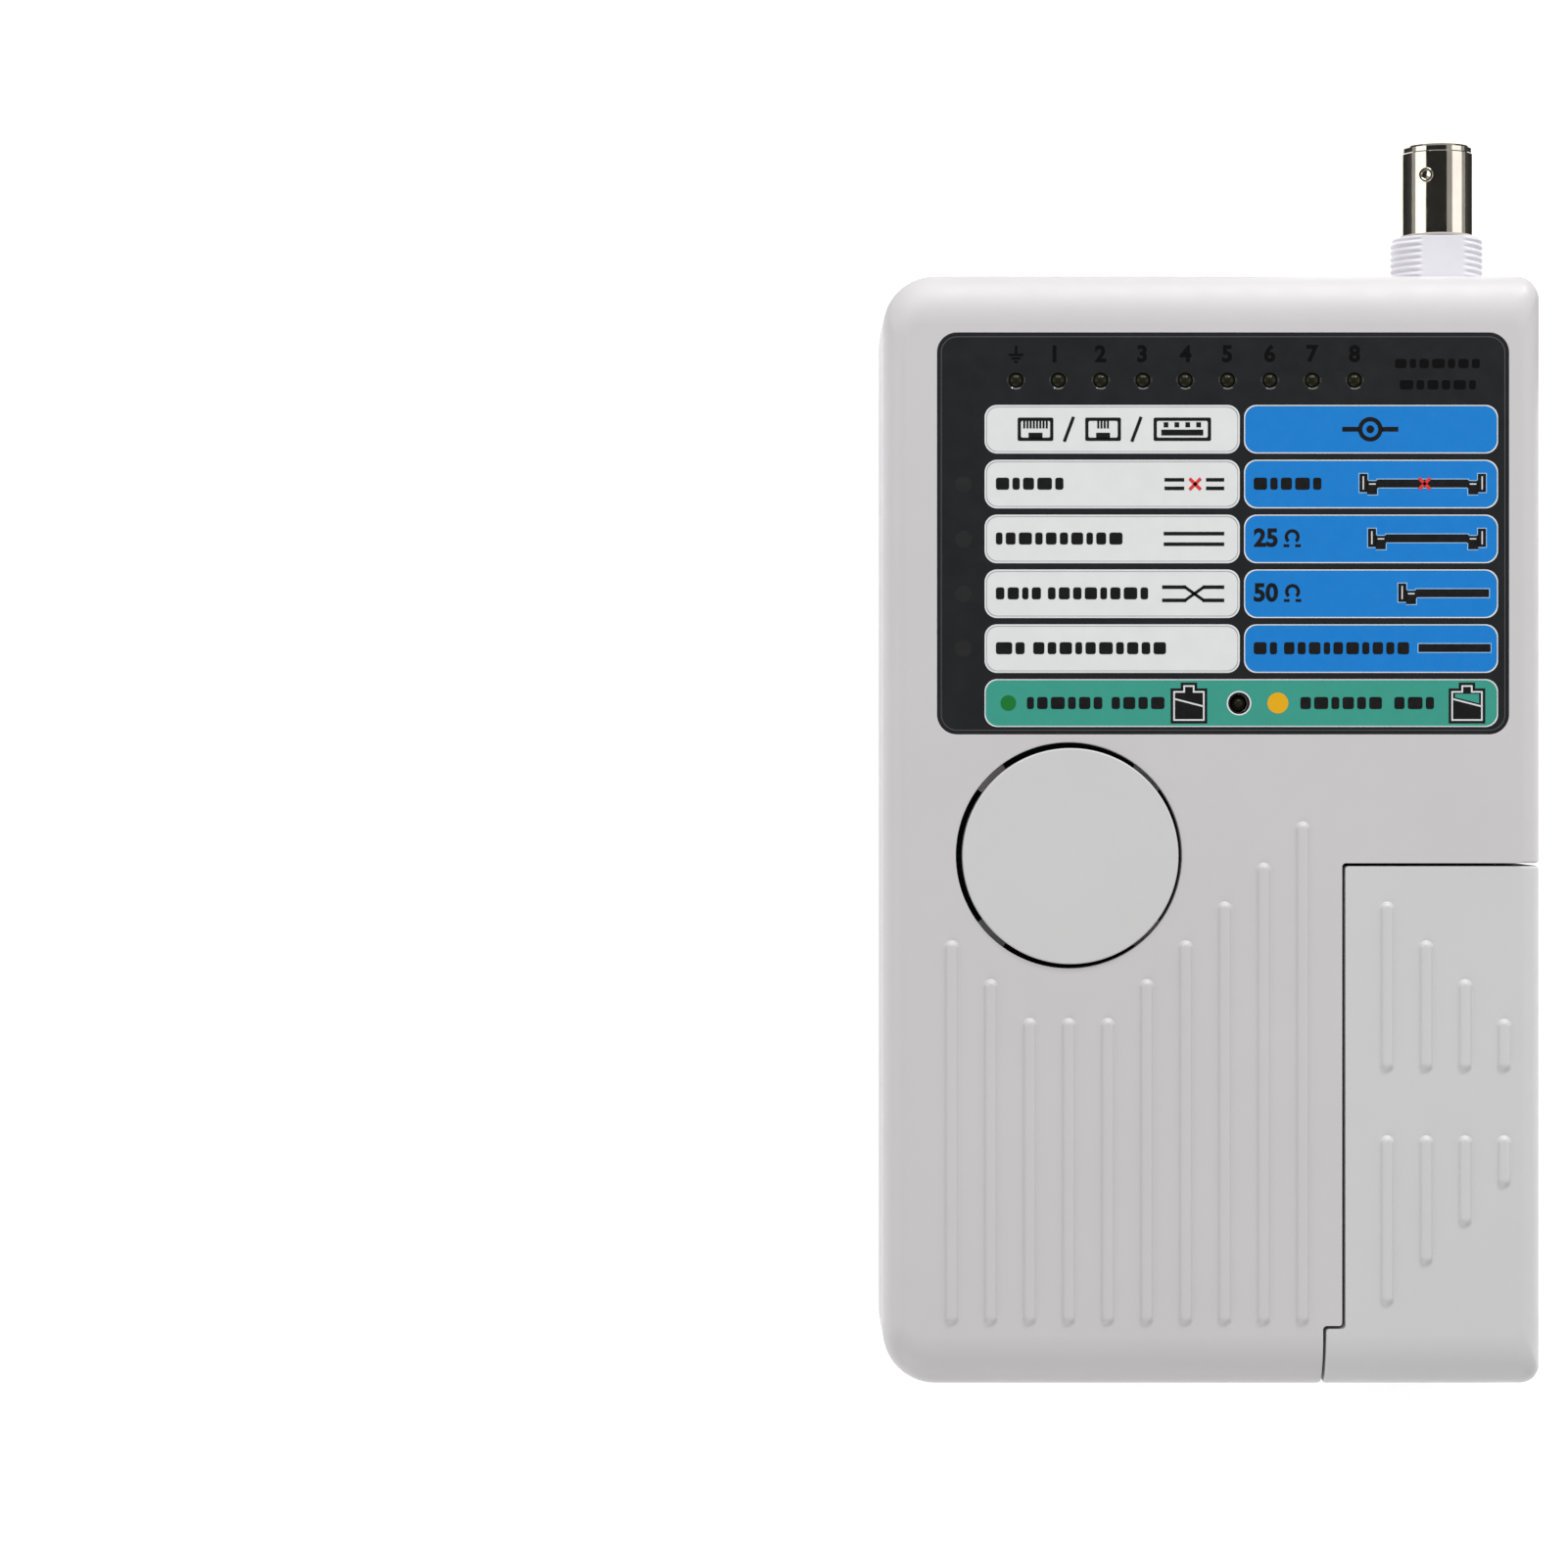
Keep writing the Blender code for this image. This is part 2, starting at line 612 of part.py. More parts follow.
def make_label(material, parent):
    corner = (LABEL_X[0], LABEL_Y[0], LABEL_Z[0])
    sheet = prism(outline(label_corners(0)), *LABEL_Z)
    label = piece("face_label", material, [sheet], corner, parent)
    cut(label, "holes", lamp_holes(LABEL_Z[0] - 1, LABEL_Z[1] + 1, False))


def lamp_shape(radius, top):
    """A lamp on its spacer, standing on the board: the dome is the upper part."""
    seat = ABOVE_PCB
    neck = top - radius
    profile = [(radius + 0.3, seat), (radius + 0.3, seat + 2.0), (radius, seat + 2.0)]
    for step in range(DOME_STEPS):
        turn = math.pi / 2 * step / DOME_STEPS
        profile.append((radius * math.cos(turn), neck + radius * math.sin(turn)))
    profile.append((radius * 0.15, top))
    return turned(profile, (0, 0), segments=10)


def make_lamps(material, parent):
    base = (0, 0, ABOVE_PCB)
    meshes = {}
    for kind, radius, top in (
        ("pin", LED_RADIUS, LED_TOP_Z),
        ("row", LED_RADIUS, ROW_LED_TOP_Z),
        ("battery", BATTERY_LED_RADIUS, LED_TOP_Z - 0.3),
    ):
        mesh = mesh_of(f"{kind}_lamp", [lamp_shape(radius, top)], base)
        mesh.materials.append(material)
        mesh.shade_smooth()
        mesh.set_sharp_from_angle(angle=math.radians(35))
        meshes[kind] = mesh
    for name, x in zip(PIN_NAMES, pin_led_places()):
        place(f"pin_led_{name}", meshes["pin"], (x, PIN_LED_Y, ABOVE_PCB), parent)
    for i, y in enumerate(ROW_LED_Y):
        place(f"row_led_{i + 1}", meshes["row"], (ROW_LED_X, y, ABOVE_PCB), parent)
    place("battery_led", meshes["battery"], (*BATTERY_LED, ABOVE_PCB), parent)


def make_button(materials, root, parent):
    under, over, top = BUTTON_Z
    profile = (
        (BUTTON_FLANGE, under),
        (BUTTON_FLANGE, over),
        (BUTTON_RADIUS, over),
        (BUTTON_RADIUS, top - 0.3),
        (BUTTON_RADIUS - 0.3, top),
    )
    origin = (*BUTTON, FRONT_Z)
    disc = turned(profile, BUTTON, segments=48)
    piece("test_button", materials["button_abs"], [disc], origin, parent, smooth=True)
    rod_shape = rod(BUTTON, PLUNGER_RADIUS, *PLUNGER_Z, segments=20)
    piece("switch_plunger", materials["chip_black"], [rod_shape], origin, parent, smooth=True)
    x, y = BUTTON
    square = block((x - SWITCH_HALF, x + SWITCH_HALF), (y - SWITCH_HALF, y + SWITCH_HALF), SWITCH_Z)
    seat = (x, y, SWITCH_Z[0])
    body = piece("switch_body", materials["plated_steel"], [square], seat, root)
    well = rod(BUTTON, PLUNGER_RADIUS + GAP, SWITCH_Z[0] + SWITCH_FLOOR, SWITCH_Z[1] + 1, segments=20)
    cut(body, "well", [well])


# Circuit boards and what stands on them

def make_boards(materials, root, remote, remote_origin):
    notch_x, notch_y = PCB_NOTCH
    step_x, step_y = PCB_STEP
    corners = (
        (PCB_X[0], PCB_Y[0]),
        (step_x, PCB_Y[0]),
        (step_x, step_y),
        (PCB_X[1], step_y),
        (PCB_X[1], PCB_Y[1]),
        (notch_x, PCB_Y[1]),
        (notch_x, notch_y),
        (PCB_X[0], notch_y),
    )
    board = materials["circuit_board"]
    piece("main_pcb", board, [prism(corners, *PCB_Z)], (0, 0, PCB_Z[0]), root)
    shape = block(REMOTE_PCB_X, REMOTE_PCB_Y, PCB_Z)
    remote_board = piece("remote_pcb", board, [shape], remote_origin, remote)
    holes = [rod(xy, BOSS_RADIUS + GAP, PCB_Z[0] - 1, PCB_Z[1] + 1, segments=16) for xy in REMOTE_SCREWS]
    cut(remote_board, "holes", holes)
    chip = block(CHIP_X, CHIP_Y, (ABOVE_PCB, ABOVE_PCB + CHIP_HEIGHT))
    piece("controller_ic", materials["chip_black"], [chip], (CHIP_X[0], CHIP_Y[0], ABOVE_PCB), root)
    radius, top = CAPACITOR_RADIUS, ABOVE_PCB + CAPACITOR_HEIGHT
    can = turned(((radius, ABOVE_PCB), (radius, top - 0.3), (radius - 0.25, top)), CAPACITOR)
    origin = (*CAPACITOR, ABOVE_PCB)
    piece("filter_capacitor", materials["plated_steel"], [can], origin, root, smooth=True)
    across = (REMOTE_MID_X - LOADS_HALF, REMOTE_MID_X + LOADS_HALF)
    loads = block(across, LOADS_Y, (ABOVE_PCB, ABOVE_PCB + LOADS_HEIGHT))
    piece("load_resistors", materials["chip_black"], [loads], remote_origin, remote)


# Sockets. Each is made with its mouth at its outer face; way is 1 when it opens to +Y.

def span(start, depth, way):
    """Lowest and highest Y of a stretch that runs back from the mouth."""
    return tuple(sorted((start - way * depth, start)))


def data_jack(prefix, materials, x, face_y, way, size, plug, contacts, parent, origin):
    """A modular jack: housing with a plug cavity and latch notch, and its comb of contacts."""
    width, height, depth = size
    plug_width, plug_height, plug_depth = plug
    top, bottom = BELOW_PCB, BELOW_PCB - height
    plug_low = bottom + LATCH_DEPTH + LATCH_FLOOR
    body = block((x - width / 2, x + width / 2), span(face_y, depth, way), (bottom, top))
    housing = piece(f"{prefix}_housing", materials["socket_plastic"], [body], origin, parent)
    outside = face_y + way
    mouth = (x - plug_width / 2, x + plug_width / 2)
    opening = block(mouth, span(outside, plug_depth + 1, way), (plug_low, plug_low + plug_height))
    cut(housing, "mouth", [opening])
    latch = (x - LATCH_WIDTH / 2, x + LATCH_WIDTH / 2)
    latch_z = (plug_low - LATCH_DEPTH, plug_low + 1)
    cut(housing, "latch", [block(latch, span(outside, plug_depth - 1, way), latch_z)])
    teeth = contact_comb(x, face_y, way, plug_low + plug_height, plug_depth, contacts)
    piece(f"{prefix}_contacts", materials["contact_gold"], [teeth], origin, parent)


def contact_comb(x, face_y, way, ceiling, plug_depth, contacts):
    """Sprung contacts on a bar: each runs forward and dips away from the ceiling."""
    back_y = face_y - way * (plug_depth - GAP)
    bar_y = back_y + way * CONTACT_BAR
    tip_y = face_y - way * CONTACT_TIP
    half = CONTACT_HALF
    half_bar = CONTACT_PITCH * contacts / 2
    edge = [(x - half_bar, back_y), (x - half_bar, bar_y)]
    for i in range(contacts):
        middle = x + CONTACT_PITCH * (i - (contacts - 1) / 2)
        for offset, y in ((-half, bar_y), (-half, tip_y), (half, tip_y), (half, bar_y)):
            edge.append((middle + offset, y))
    edge += [(x + half_bar, bar_y), (x + half_bar, back_y)]
    rings = []
    for level in (ceiling - GAP - CONTACT_SHEET, ceiling - GAP):
        ring = []
        for px, py in edge:
            dip = CONTACT_DIP * abs(py - bar_y) / abs(tip_y - bar_y) if py != back_y else 0.0
            ring.append((px, py, level - dip))
        rings.append(ring)
    return loft(rings)


def usb_socket(prefix, materials, x, face_y, way, size, tongue, parent, origin):
    """A plated shell, closed at its back, round a plastic tongue."""
    width, height, depth = size
    top, bottom = BELOW_PCB, BELOW_PCB - height
    sheet = USB_SHEET
    body = block((x - width / 2, x + width / 2), span(face_y, depth, way), (bottom, top))
    shell = piece(f"{prefix}_shell", materials["plated_steel"], [body], origin, parent)
    inner_x = (x - width / 2 + sheet, x + width / 2 - sheet)
    inside_y = span(face_y + way, depth + 1 - 2 * USB_BACK, way)
    inside = block(inner_x, inside_y, (bottom + sheet, top - sheet))
    cut(shell, "mouth", [inside])
    half_width, half_height, middle = tongue
    length = depth - 3 * USB_BACK - GAP
    z = (bottom + middle - half_height, bottom + middle + half_height)
    bar = block((x - half_width, x + half_width), span(face_y - way * USB_BACK, length, way), z)
    piece(f"{prefix}_tongue", materials["white_plastic"], [bar], origin, parent)


def make_sockets(materials, root, remote, remote_origin):
    face_y = HALF_LENGTH - SOCKET_SETBACK
    seat = (0, face_y, 0)
    for prefix, x, size, plug, contacts in (
        ("rj45", RJ45_X, RJ45_SIZE, RJ45_PLUG, 8),
        ("rj11", RJ11_X, RJ11_SIZE, RJ11_PLUG, 4),
    ):
        data_jack(prefix, materials, x, face_y, 1, size, plug, contacts, root, seat)
    usb_socket("usb_a", materials, USB_A_X, face_y, 1, USB_A_SIZE, USB_A_TONGUE, root, seat)
    x, body, top_y = REMOTE_MID_X, (remote, remote_origin), REMOTE_TOP - SOCKET_SETBACK
    data_jack("remote_rj45", materials, x, top_y, 1, RJ45_SIZE, RJ45_PLUG, 8, *body)
    usb_socket("remote_usb_b", materials, x, -face_y, -1, USB_B_SIZE, USB_B_TONGUE, *body)


# Coaxial connector

def threaded_base():
    """The nut's bored body: a shoulder inside the casing, then ridges outside it."""
    inner_face = HALF_LENGTH - WALL - GAP
    pitch = (BASE_END - HALF_LENGTH) / THREADS
    root = BASE_RADIUS - THREAD_DEPTH
    profile = [
        (BASE_BORE, BASE_START),
        (BASE_SHOULDER, BASE_START),
        (BASE_SHOULDER, inner_face),
        (root, inner_face),
    ]
    for i in range(THREADS):
        start = HALF_LENGTH + GAP + pitch * i
        profile += [
            (root, start),
            (BASE_RADIUS, start + pitch * 0.3),
            (BASE_RADIUS, start + pitch * 0.6),
            (root, start + pitch * 0.9),
        ]
    profile += [(root, BASE_END), (BASE_BORE, BASE_END)]
    return turned(profile, (BNC_X, BNC_Z), "Y", 24, bored=True)


def lug(side):
    """A bayonet lug: a stud square to the barrel's axis."""
    turn = math.radians(LUG_TURN)
    out = Vector((math.sin(turn), 0, math.cos(turn))) * side
    across = Vector((math.cos(turn), 0, -math.sin(turn)))
    rings = []
    for reach in LUG_REACH:
        middle = Vector((BNC_X, LUG_Y, BNC_Z)) + out * reach
        around = circle((0, 0), LUG_RADIUS, 12)
        rings.append([tuple(middle + across * x + Vector((0, y, 0))) for x, y in around])
    return loft(rings)


def make_bnc(materials, parent):
    centre = (BNC_X, BNC_Z)
    origin = (BNC_X, HALF_LENGTH, BNC_Z)
    base = piece("bnc_base", materials["white_plastic"], [threaded_base()], origin, parent, smooth=True)
    across = (BNC_X - BASE_SHOULDER - 1, BNC_X + BASE_SHOULDER + 1)
    along = (HALF_LENGTH, BASE_END + 1)
    above = (BNC_Z + BASE_FLAT, BNC_Z + BASE_RADIUS + 1)
    below = (BNC_Z - BASE_RADIUS - 1, BNC_Z - BASE_FLAT)
    cut(base, "flats", [block(across, along, above), block(across, along, below)])
    shoulder = BASE_END + GAP
    profile = (
        (BARREL_BORE, BARREL_START),
        (BARREL_STEM, BARREL_START),
        (BARREL_STEM, shoulder),
        (BARREL_RADIUS, shoulder),
        (BARREL_RADIUS, BARREL_END - 0.4),
        (BARREL_RADIUS - 0.4, BARREL_END),
        (BARREL_MOUTH, BARREL_END),
        (BARREL_MOUTH, BARREL_FLOOR),
        (BARREL_BORE, BARREL_FLOOR),
    )
    shape = turned(profile, centre, "Y", 28, bored=True)
    barrel = piece("bnc_barrel", materials["nickel"], [shape], origin, parent, smooth=True)
    add(barrel, "lugs", [lug(1), lug(-1)])
    inner, outer, end = DIELECTRIC_BORE, DIELECTRIC_RADIUS, DIELECTRIC_END
    profile = ((inner, BASE_START), (outer, BASE_START), (outer, end), (inner, end))
    shape = turned(profile, centre, "Y", 20, bored=True)
    piece("bnc_dielectric", materials["white_plastic"], [shape], origin, parent, smooth=True)
    radius, low, high = CONTACT_RADIUS, CONTACT_START, CONTACT_END
    profile = ((radius - 0.15, low), (radius, low + 0.2), (radius, high - 0.4), (radius - 0.25, high))
    shape = turned(profile, centre, "Y", 16)
    piece("bnc_contact", materials["contact_gold"], [shape], origin, parent, smooth=True)


# Battery, snap, leads and door

def door_profile(margin, bottom, ledge):
    """The door's T-shaped cross-section in X and Z, grown by a margin."""
    plate, flange = DOOR_HALF + margin, DOOR_FLANGE_HALF + margin
    top = DOOR_Z[2] + margin
    return (
        (BATTERY_X - plate, bottom),
        (BATTERY_X + plate, bottom),
        (BATTERY_X + plate, ledge),
        (BATTERY_X + flange, ledge),
        (BATTERY_X + flange, top),
        (BATTERY_X - flange, top),
        (BATTERY_X - flange, ledge),
        (BATTERY_X - plate, ledge),
    )


def make_door(material, parent):
    rings = []
    toe_length, toe_z = DOOR_TOE
    for y, bottom in ((DOOR_Y[0], toe_z), (DOOR_Y[0] + toe_length, DOOR_Z[0]), (DOOR_Y[1], DOOR_Z[0])):
        rings.append([(x, y, z) for x, z in door_profile(0, bottom, DOOR_Z[1])])
    origin = (BATTERY_X, DOOR_Y[0], DOOR_Z[0])
    door = piece("battery_door", material, [loft(rings)], origin, parent)
    grooves = []
    across = (BATTERY_X - GRIP_HALF, BATTERY_X + GRIP_HALF)
    for i in range(GRIP_GROOVES):
        y = GRIP_START + GRIP_PITCH * i
        grooves.append(block(across, (y, y + GRIP_WIDTH), (-1, DOOR_Z[0] + GRIP_DEPTH)))
    cut(door, "grip", grooves)


def make_battery(materials, parent):
    half_x, half_z = BATTERY_HALF
    corners = [
        (BATTERY_X + sx * half_x, BATTERY_MID_Z + sz * half_z, BATTERY_CORNER, False)
        for sx, sz in ((-1, -1), (1, -1), (1, 1), (-1, 1))
    ]
    origin = (BATTERY_X, BATTERY_Y[0], BATTERY_MID_Z)
    can = prism(outline(corners), *BATTERY_Y, axis="Y")
    battery = piece("battery_9v", materials["battery_jacket"], [can], origin, parent)
    terminals = []
    for offset, radius in TERMINALS:
        centre = (BATTERY_X + offset, BATTERY_MID_Z)
        terminals.append(rod(centre, radius, BATTERY_Y[1] - 1, TERMINAL_TOP, axis="Y", segments=16))
    add(battery, "terminals", terminals)
    snap_x, snap_z = SNAP_HALF
    z = (BATTERY_MID_Z - snap_z, BATTERY_MID_Z + snap_z)
    pad = block((BATTERY_X - snap_x, BATTERY_X + snap_x), SNAP_Y, z)
    snap = piece("battery_snap", materials["socket_plastic"], [pad], origin, parent)
    sockets = []
    for offset, radius in TERMINALS:
        inner, outer = radius + GAP, radius + GAP + SNAP_WALL
        low, high = BATTERY_Y[1] + GAP, SNAP_Y[0] + SNAP_WALL
        profile = ((inner, low), (outer, low), (outer, high), (inner, high))
        centre = (BATTERY_X + offset, BATTERY_MID_Z)
        sockets.append(turned(profile, centre, "Y", 16, bored=True))
    add(snap, "sockets", sockets)
    z = (BATTERY_MID_Z + half_z + GAP, FRONT_Z - WALL - GAP)
    pad = block((BATTERY_X - FOAM_HALF, BATTERY_X + FOAM_HALF), FOAM_Y, z)
    piece("battery_foam", materials["foam"], [pad], origin, parent)


def through_points(points, per_span):
    """A smooth Catmull-Rom curve through the route's own points."""
    ends = [2 * Vector(points[0]) - Vector(points[1]), 2 * Vector(points[-1]) - Vector(points[-2])]
    route = [ends[0], *map(Vector, points), ends[1]]
    found = []
    for i in range(1, len(route) - 2):
        a, b, c, d = route[i - 1: i + 3]
        for step in range(per_span):
            t = step / per_span
            square = (2 * a - 5 * b + 4 * c - d) * t**2
            cube = (3 * b - a - 3 * c + d) * t**3
            found.append(0.5 * (2 * b + (c - a) * t + square + cube))
    return [*found, route[-2]]


def make_leads(materials, parent):
    for name, points in LEAD_ROUTES.items():
        data = bpy.data.curves.new(name, "CURVE")
        data.dimensions = "3D"
        data.bevel_depth = LEAD_RADIUS * MM
        data.bevel_resolution = 2
        data.use_fill_caps = True
        route = through_points(points, 3)
        spline = data.splines.new("POLY")
        spline.points.add(len(route) - 1)
        for target, point in zip(spline.points, route):
            target.co = (*((point - Vector(points[0])) * MM), 1)
        data.materials.append(materials[LEAD_MATERIALS[name]])
        place(name, data, points[0], parent)


# Fasteners

def make_screws(material, prefix, places, parent):
    head, neck, tip = SCREW_Z
    profile = (
        (SCREW_HEAD_RADIUS - 0.4, head),
        (SCREW_HEAD_RADIUS, head + 0.4),
        (SCREW_HEAD_RADIUS, neck),
        (SCREW_RADIUS, neck),
        (SCREW_RADIUS, tip - 1.2),
        (0.3, tip),
    )
    arm, thin = RECESS_ARM, RECESS_HALF
    cross = (
        (-arm, -thin), (-thin, -thin), (-thin, -arm), (thin, -arm), (thin, -thin), (arm, -thin),
        (arm, thin), (thin, thin), (thin, arm), (-thin, arm), (-thin, thin), (-arm, thin),
    )
    for i, (x, y) in enumerate(places):
        name = f"{prefix}_screw_{i + 1}"
        shape = turned(profile, (x, y), segments=12)
        screw = piece(name, material, [shape], (x, y, head), parent, smooth=True)
        recess = prism([(x + dx, y + dy) for dx, dy in cross], head - 1, head + RECESS_DEPTH)
        cut(screw, "recess", [recess])


def build():
    clear_scene()
    materials = {name: make_material(name) for name in MATERIALS}
    remote_origin = (REMOTE_LEFT, REMOTE_TOP, PART_Z)
    root = place("main_unit", None, (0, 0, 0))
    button = place("button_slide", None, (*BUTTON, FRONT_Z))
    remote = place("remote_slide", None, remote_origin)
    door = place("battery_door_slide", None, (BATTERY_X, DOOR_Y[0], DOOR_Z[0]))
    make_main_front(materials["casing_abs"], root)
    make_main_rear(materials["casing_abs"], root)
    make_remote_front(materials["remote_abs"], remote, remote_origin)
    make_remote_rear(materials["remote_abs"], remote, remote_origin)
    make_label(materials["label_film"], root)
    make_lamps(materials["led_lens"], root)
    make_button(materials, root, button)
    make_boards(materials, root, remote, remote_origin)
    make_sockets(materials, root, remote, remote_origin)
    make_bnc(materials, root)
    make_door(materials["casing_abs"], door)
    make_battery(materials, root)
    make_leads(materials, root)
    make_screws(materials["screw_steel"], "main", MAIN_SCREWS, root)
    make_screws(materials["screw_steel"], "remote", REMOTE_SCREWS, remote)


build()
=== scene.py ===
"""The looks of the network cable tester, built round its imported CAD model.

Sizes are in millimetres in the constants and shapes, and meshes are made in metres.
+X is right, +Y is towards the coaxial connector and +Z comes out of the front face.
"""

from math import cos, pi, radians, sin, tau

import bmesh
import bpy
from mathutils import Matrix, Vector


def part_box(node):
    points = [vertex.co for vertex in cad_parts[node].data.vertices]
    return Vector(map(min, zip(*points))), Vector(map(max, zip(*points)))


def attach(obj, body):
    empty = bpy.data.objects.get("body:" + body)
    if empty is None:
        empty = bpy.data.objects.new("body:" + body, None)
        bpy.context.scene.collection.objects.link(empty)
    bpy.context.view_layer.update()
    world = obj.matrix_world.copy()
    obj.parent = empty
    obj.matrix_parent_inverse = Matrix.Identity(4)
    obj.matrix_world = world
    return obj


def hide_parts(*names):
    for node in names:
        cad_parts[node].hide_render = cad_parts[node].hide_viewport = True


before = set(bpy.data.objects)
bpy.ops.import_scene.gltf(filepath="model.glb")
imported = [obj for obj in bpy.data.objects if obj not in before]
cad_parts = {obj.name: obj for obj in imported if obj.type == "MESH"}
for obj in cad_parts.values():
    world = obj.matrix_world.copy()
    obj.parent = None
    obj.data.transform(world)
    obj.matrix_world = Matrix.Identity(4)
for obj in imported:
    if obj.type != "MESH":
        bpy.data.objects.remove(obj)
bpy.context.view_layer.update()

MM = 0.001
WELD = 0.002  # corners closer than this become one, in CAD nodes too
PAST = 1  # how far a cutter stands past the face that it opens


def node_box(name):
    """A CAD node's lowest and highest corners in millimetres."""
    low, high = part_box(name)
    return low / MM, high / MM


def node_middle(name):
    low, high = node_box(name)
    return (low + high) / 2


def node_xy(name):
    return tuple(node_middle(name).xy)


# Casing
SIDE_X, END_Y, CREST_Z = node_box("main_front_shell")[1]
REMOTE_LOW, REMOTE_HIGH = node_box("remote_front_shell")
RIB_HEIGHT = 0.5
FRONT_Z = CREST_Z - RIB_HEIGHT
PART_Z = 12.5
SEAM = 0.3  # gap along the parting plane, round the remote and round loose pieces
WALL = 2.0
CEILING = FRONT_Z - WALL
SINK = 0.5  # how far an added shape sinks into a wall
SIDE_FILLET = 3.0
END_FILLET = 6.6
FILLET_DROP = 3.3
FILLET_POWER = 1.85  # 2 is an ellipse, and less is closer to a chamfer
BACK_FILLET = 1.0
SEAM_BREAK = 0.12  # broken edge along the parting plane
LINE_BREAK = 0.07  # broken edge along the line between the two units
LEFT_CORNER = 6.8
TOP_RIGHT_CORNER = 3.0
LOW_RIGHT_CORNER = 2.4
SHARP = 0.4  # radius of a corner that looks sharp
CONCAVE_CORNER = 1.0  # largest rounding where the outline turns inwards
INNER_CORNER = 1.7  # a rounding's inner edge keeps at least this at its corners
FOOT_LEFT = REMOTE_LOW.x
REMOTE_LEFT = FOOT_LEFT + 2.45
REMOTE_TOP = REMOTE_HIGH.y
FOOT_TOP = -64.25
REMOTE_CAVITY_LEFT = REMOTE_LEFT + 4.35
LIP = (0.95, 1.6)  # tongue that closes the parting line, from the outside in
LIP_HEIGHT = 1.2
LIP_ROOT = 1.5  # how far the tongue starts below the parting plane
REBATE_PLAY = (0.15, 0.2)  # room outside and above the tongue

# T-shaped rail between the units
RAIL_Y = (-62.0, -5.5)
RAIL_NECK, RAIL_HEAD = 1.0, 2.0
RAIL_HEAD_X, RAIL_TIP_X = REMOTE_LEFT + 1.05, REMOTE_LEFT + 2.25

# Grip ribs: the profile runs from the foot to the crest, as half width and height
RIB_PROFILE = (
    (1.1, -0.12), (1.06, 0.0), (0.95, 0.035), (0.85, 0.1), (0.76, 0.2),
    (0.67, 0.32), (0.55, 0.42), (0.36, 0.48), (0.12, RIB_HEIGHT),
)
RIB_HALF_WIDTH = 0.7
RIB_RUN_OUT = 0.35  # how much sooner the crest ends than the foot, at the lower end
RIB_PITCH = 5.02
RIB_X = -33.7
RIB_BOTTOM = -63.6
RIB_TOPS = (-14.5, -19.5, -24.5, -24.5, -24.5, -19.5, -14.5, -9.5, -4.5, 0.8)
REMOTE_RIB_X = 22.35
UPPER_RIB_BOTTOM = -31.0
UPPER_RIB_TOPS = (-9.5, -14.5, -19.5, -24.6)
LOWER_RIB_TOP = -39.6
LOWER_RIB_BOTTOMS = (-61.1, -55.9, -50.9, -45.9)

# Label and lamps
LABEL_LOW, LABEL_HIGH = node_box("face_label")
LABEL_CORNER = 2.4
RECESS_MARGIN = 0.18
RECESS_LIP = 0.05
RECESS_DEPTH = 0.75
PANEL_GROWTH = 0.12  # the film laps the recess's broken lip by this much
PANEL_BREAK = 0.08
PIN_LAMPS = ["pin_led_shield"] + [f"pin_led_{i}" for i in range(1, 9)]
ROW_LAMPS = [f"row_led_{i}" for i in range(1, 5)]
BATTERY_LAMP = "battery_led"
LAMP_HOLE = 1.8  # in the casing
LAMP_WINDOW = 1.22  # in the label, where its bevel starts
BEVEL_REACH, BEVEL_DROP, BEVEL_DEPTH = 0.24, 0.14, 0.35
BATTERY_LAMP_HOLE = 1.15
LAMP_RADIUS = 1.12
BATTERY_LAMP_RADIUS = 0.9
LAMP_RIM, LAMP_RIM_HEIGHT = 0.4, 2.0
LAMP_TIP = 0.03

# Button
BUTTON = node_middle("test_button")
BUTTON_RADIUS = 13.9
BUTTON_HOLE = 14.55
BUTTON_HOLE_LIP = 0.12
BUTTON_EDGE = 0.22
BUTTON_CROWN = (0.85, 0.5, 0.15)  # rings on its flat top, as shares of the radius
BUTTON_SHIFT = (0.18, -0.08)  # play that leaves the button off centre in its hole
BUTTON_HOOKS = 4
HOOK_SPREAD = 9  # degrees to each side of a hook's middle
HOOK_SINK, HOOK_HEIGHT = 0.6, 1.2

# Coaxial connector
BNC = node_middle("bnc_barrel")
BNC_AXIS = (BNC.x, BNC.z)
BASE_END = node_box("bnc_base")[1].y
BARREL_END = node_box("bnc_barrel")[1].y
BASE_RADIUS = 6.05
BASE_FLAT = 5.1
BASE_BORE, BASE_SHOULDER = 3.9, 7.0
THREADS = 7.2
THREAD_DEPTH = 0.24
THREAD_SHAPE = 0.7  # less is a sharper root
THREAD_FADE = 0.5
BARREL_RADIUS = 4.8
BARREL_BORE, BARREL_TAIL_BORE, BARREL_TAIL = 4.05, 2.7, 3.6
BARREL_START = 62.0
BARREL_DEPTH = 10
LUG_Y = BARREL_END - 4.3
LUG_TURN = -24  # degrees from straight up, about +Y
LUG_PROFILE = (  # radius and height above the barrel's axis
    (0.95, 4.2), (0.95, 5.4), (0.86, 5.55), (0.66, 5.55), (0.56, 5.3), (0.1, 5.2),
)

# Screws, the battery door and the sockets that open the casing
MAIN_SCREWS = [f"main_screw_{i}" for i in range(1, 5)]
REMOTE_SCREWS = [f"remote_screw_{i}" for i in range(1, 3)]
HEAD_RADIUS, SCREW_RADIUS = 2.2, 1.2
SCREW_LOW, SCREW_HIGH = node_box("main_screw_1")
SCREW_NECK = 2.1
SCREW_DOME = (0.9, 0.7)  # how far the head rounds, across and along
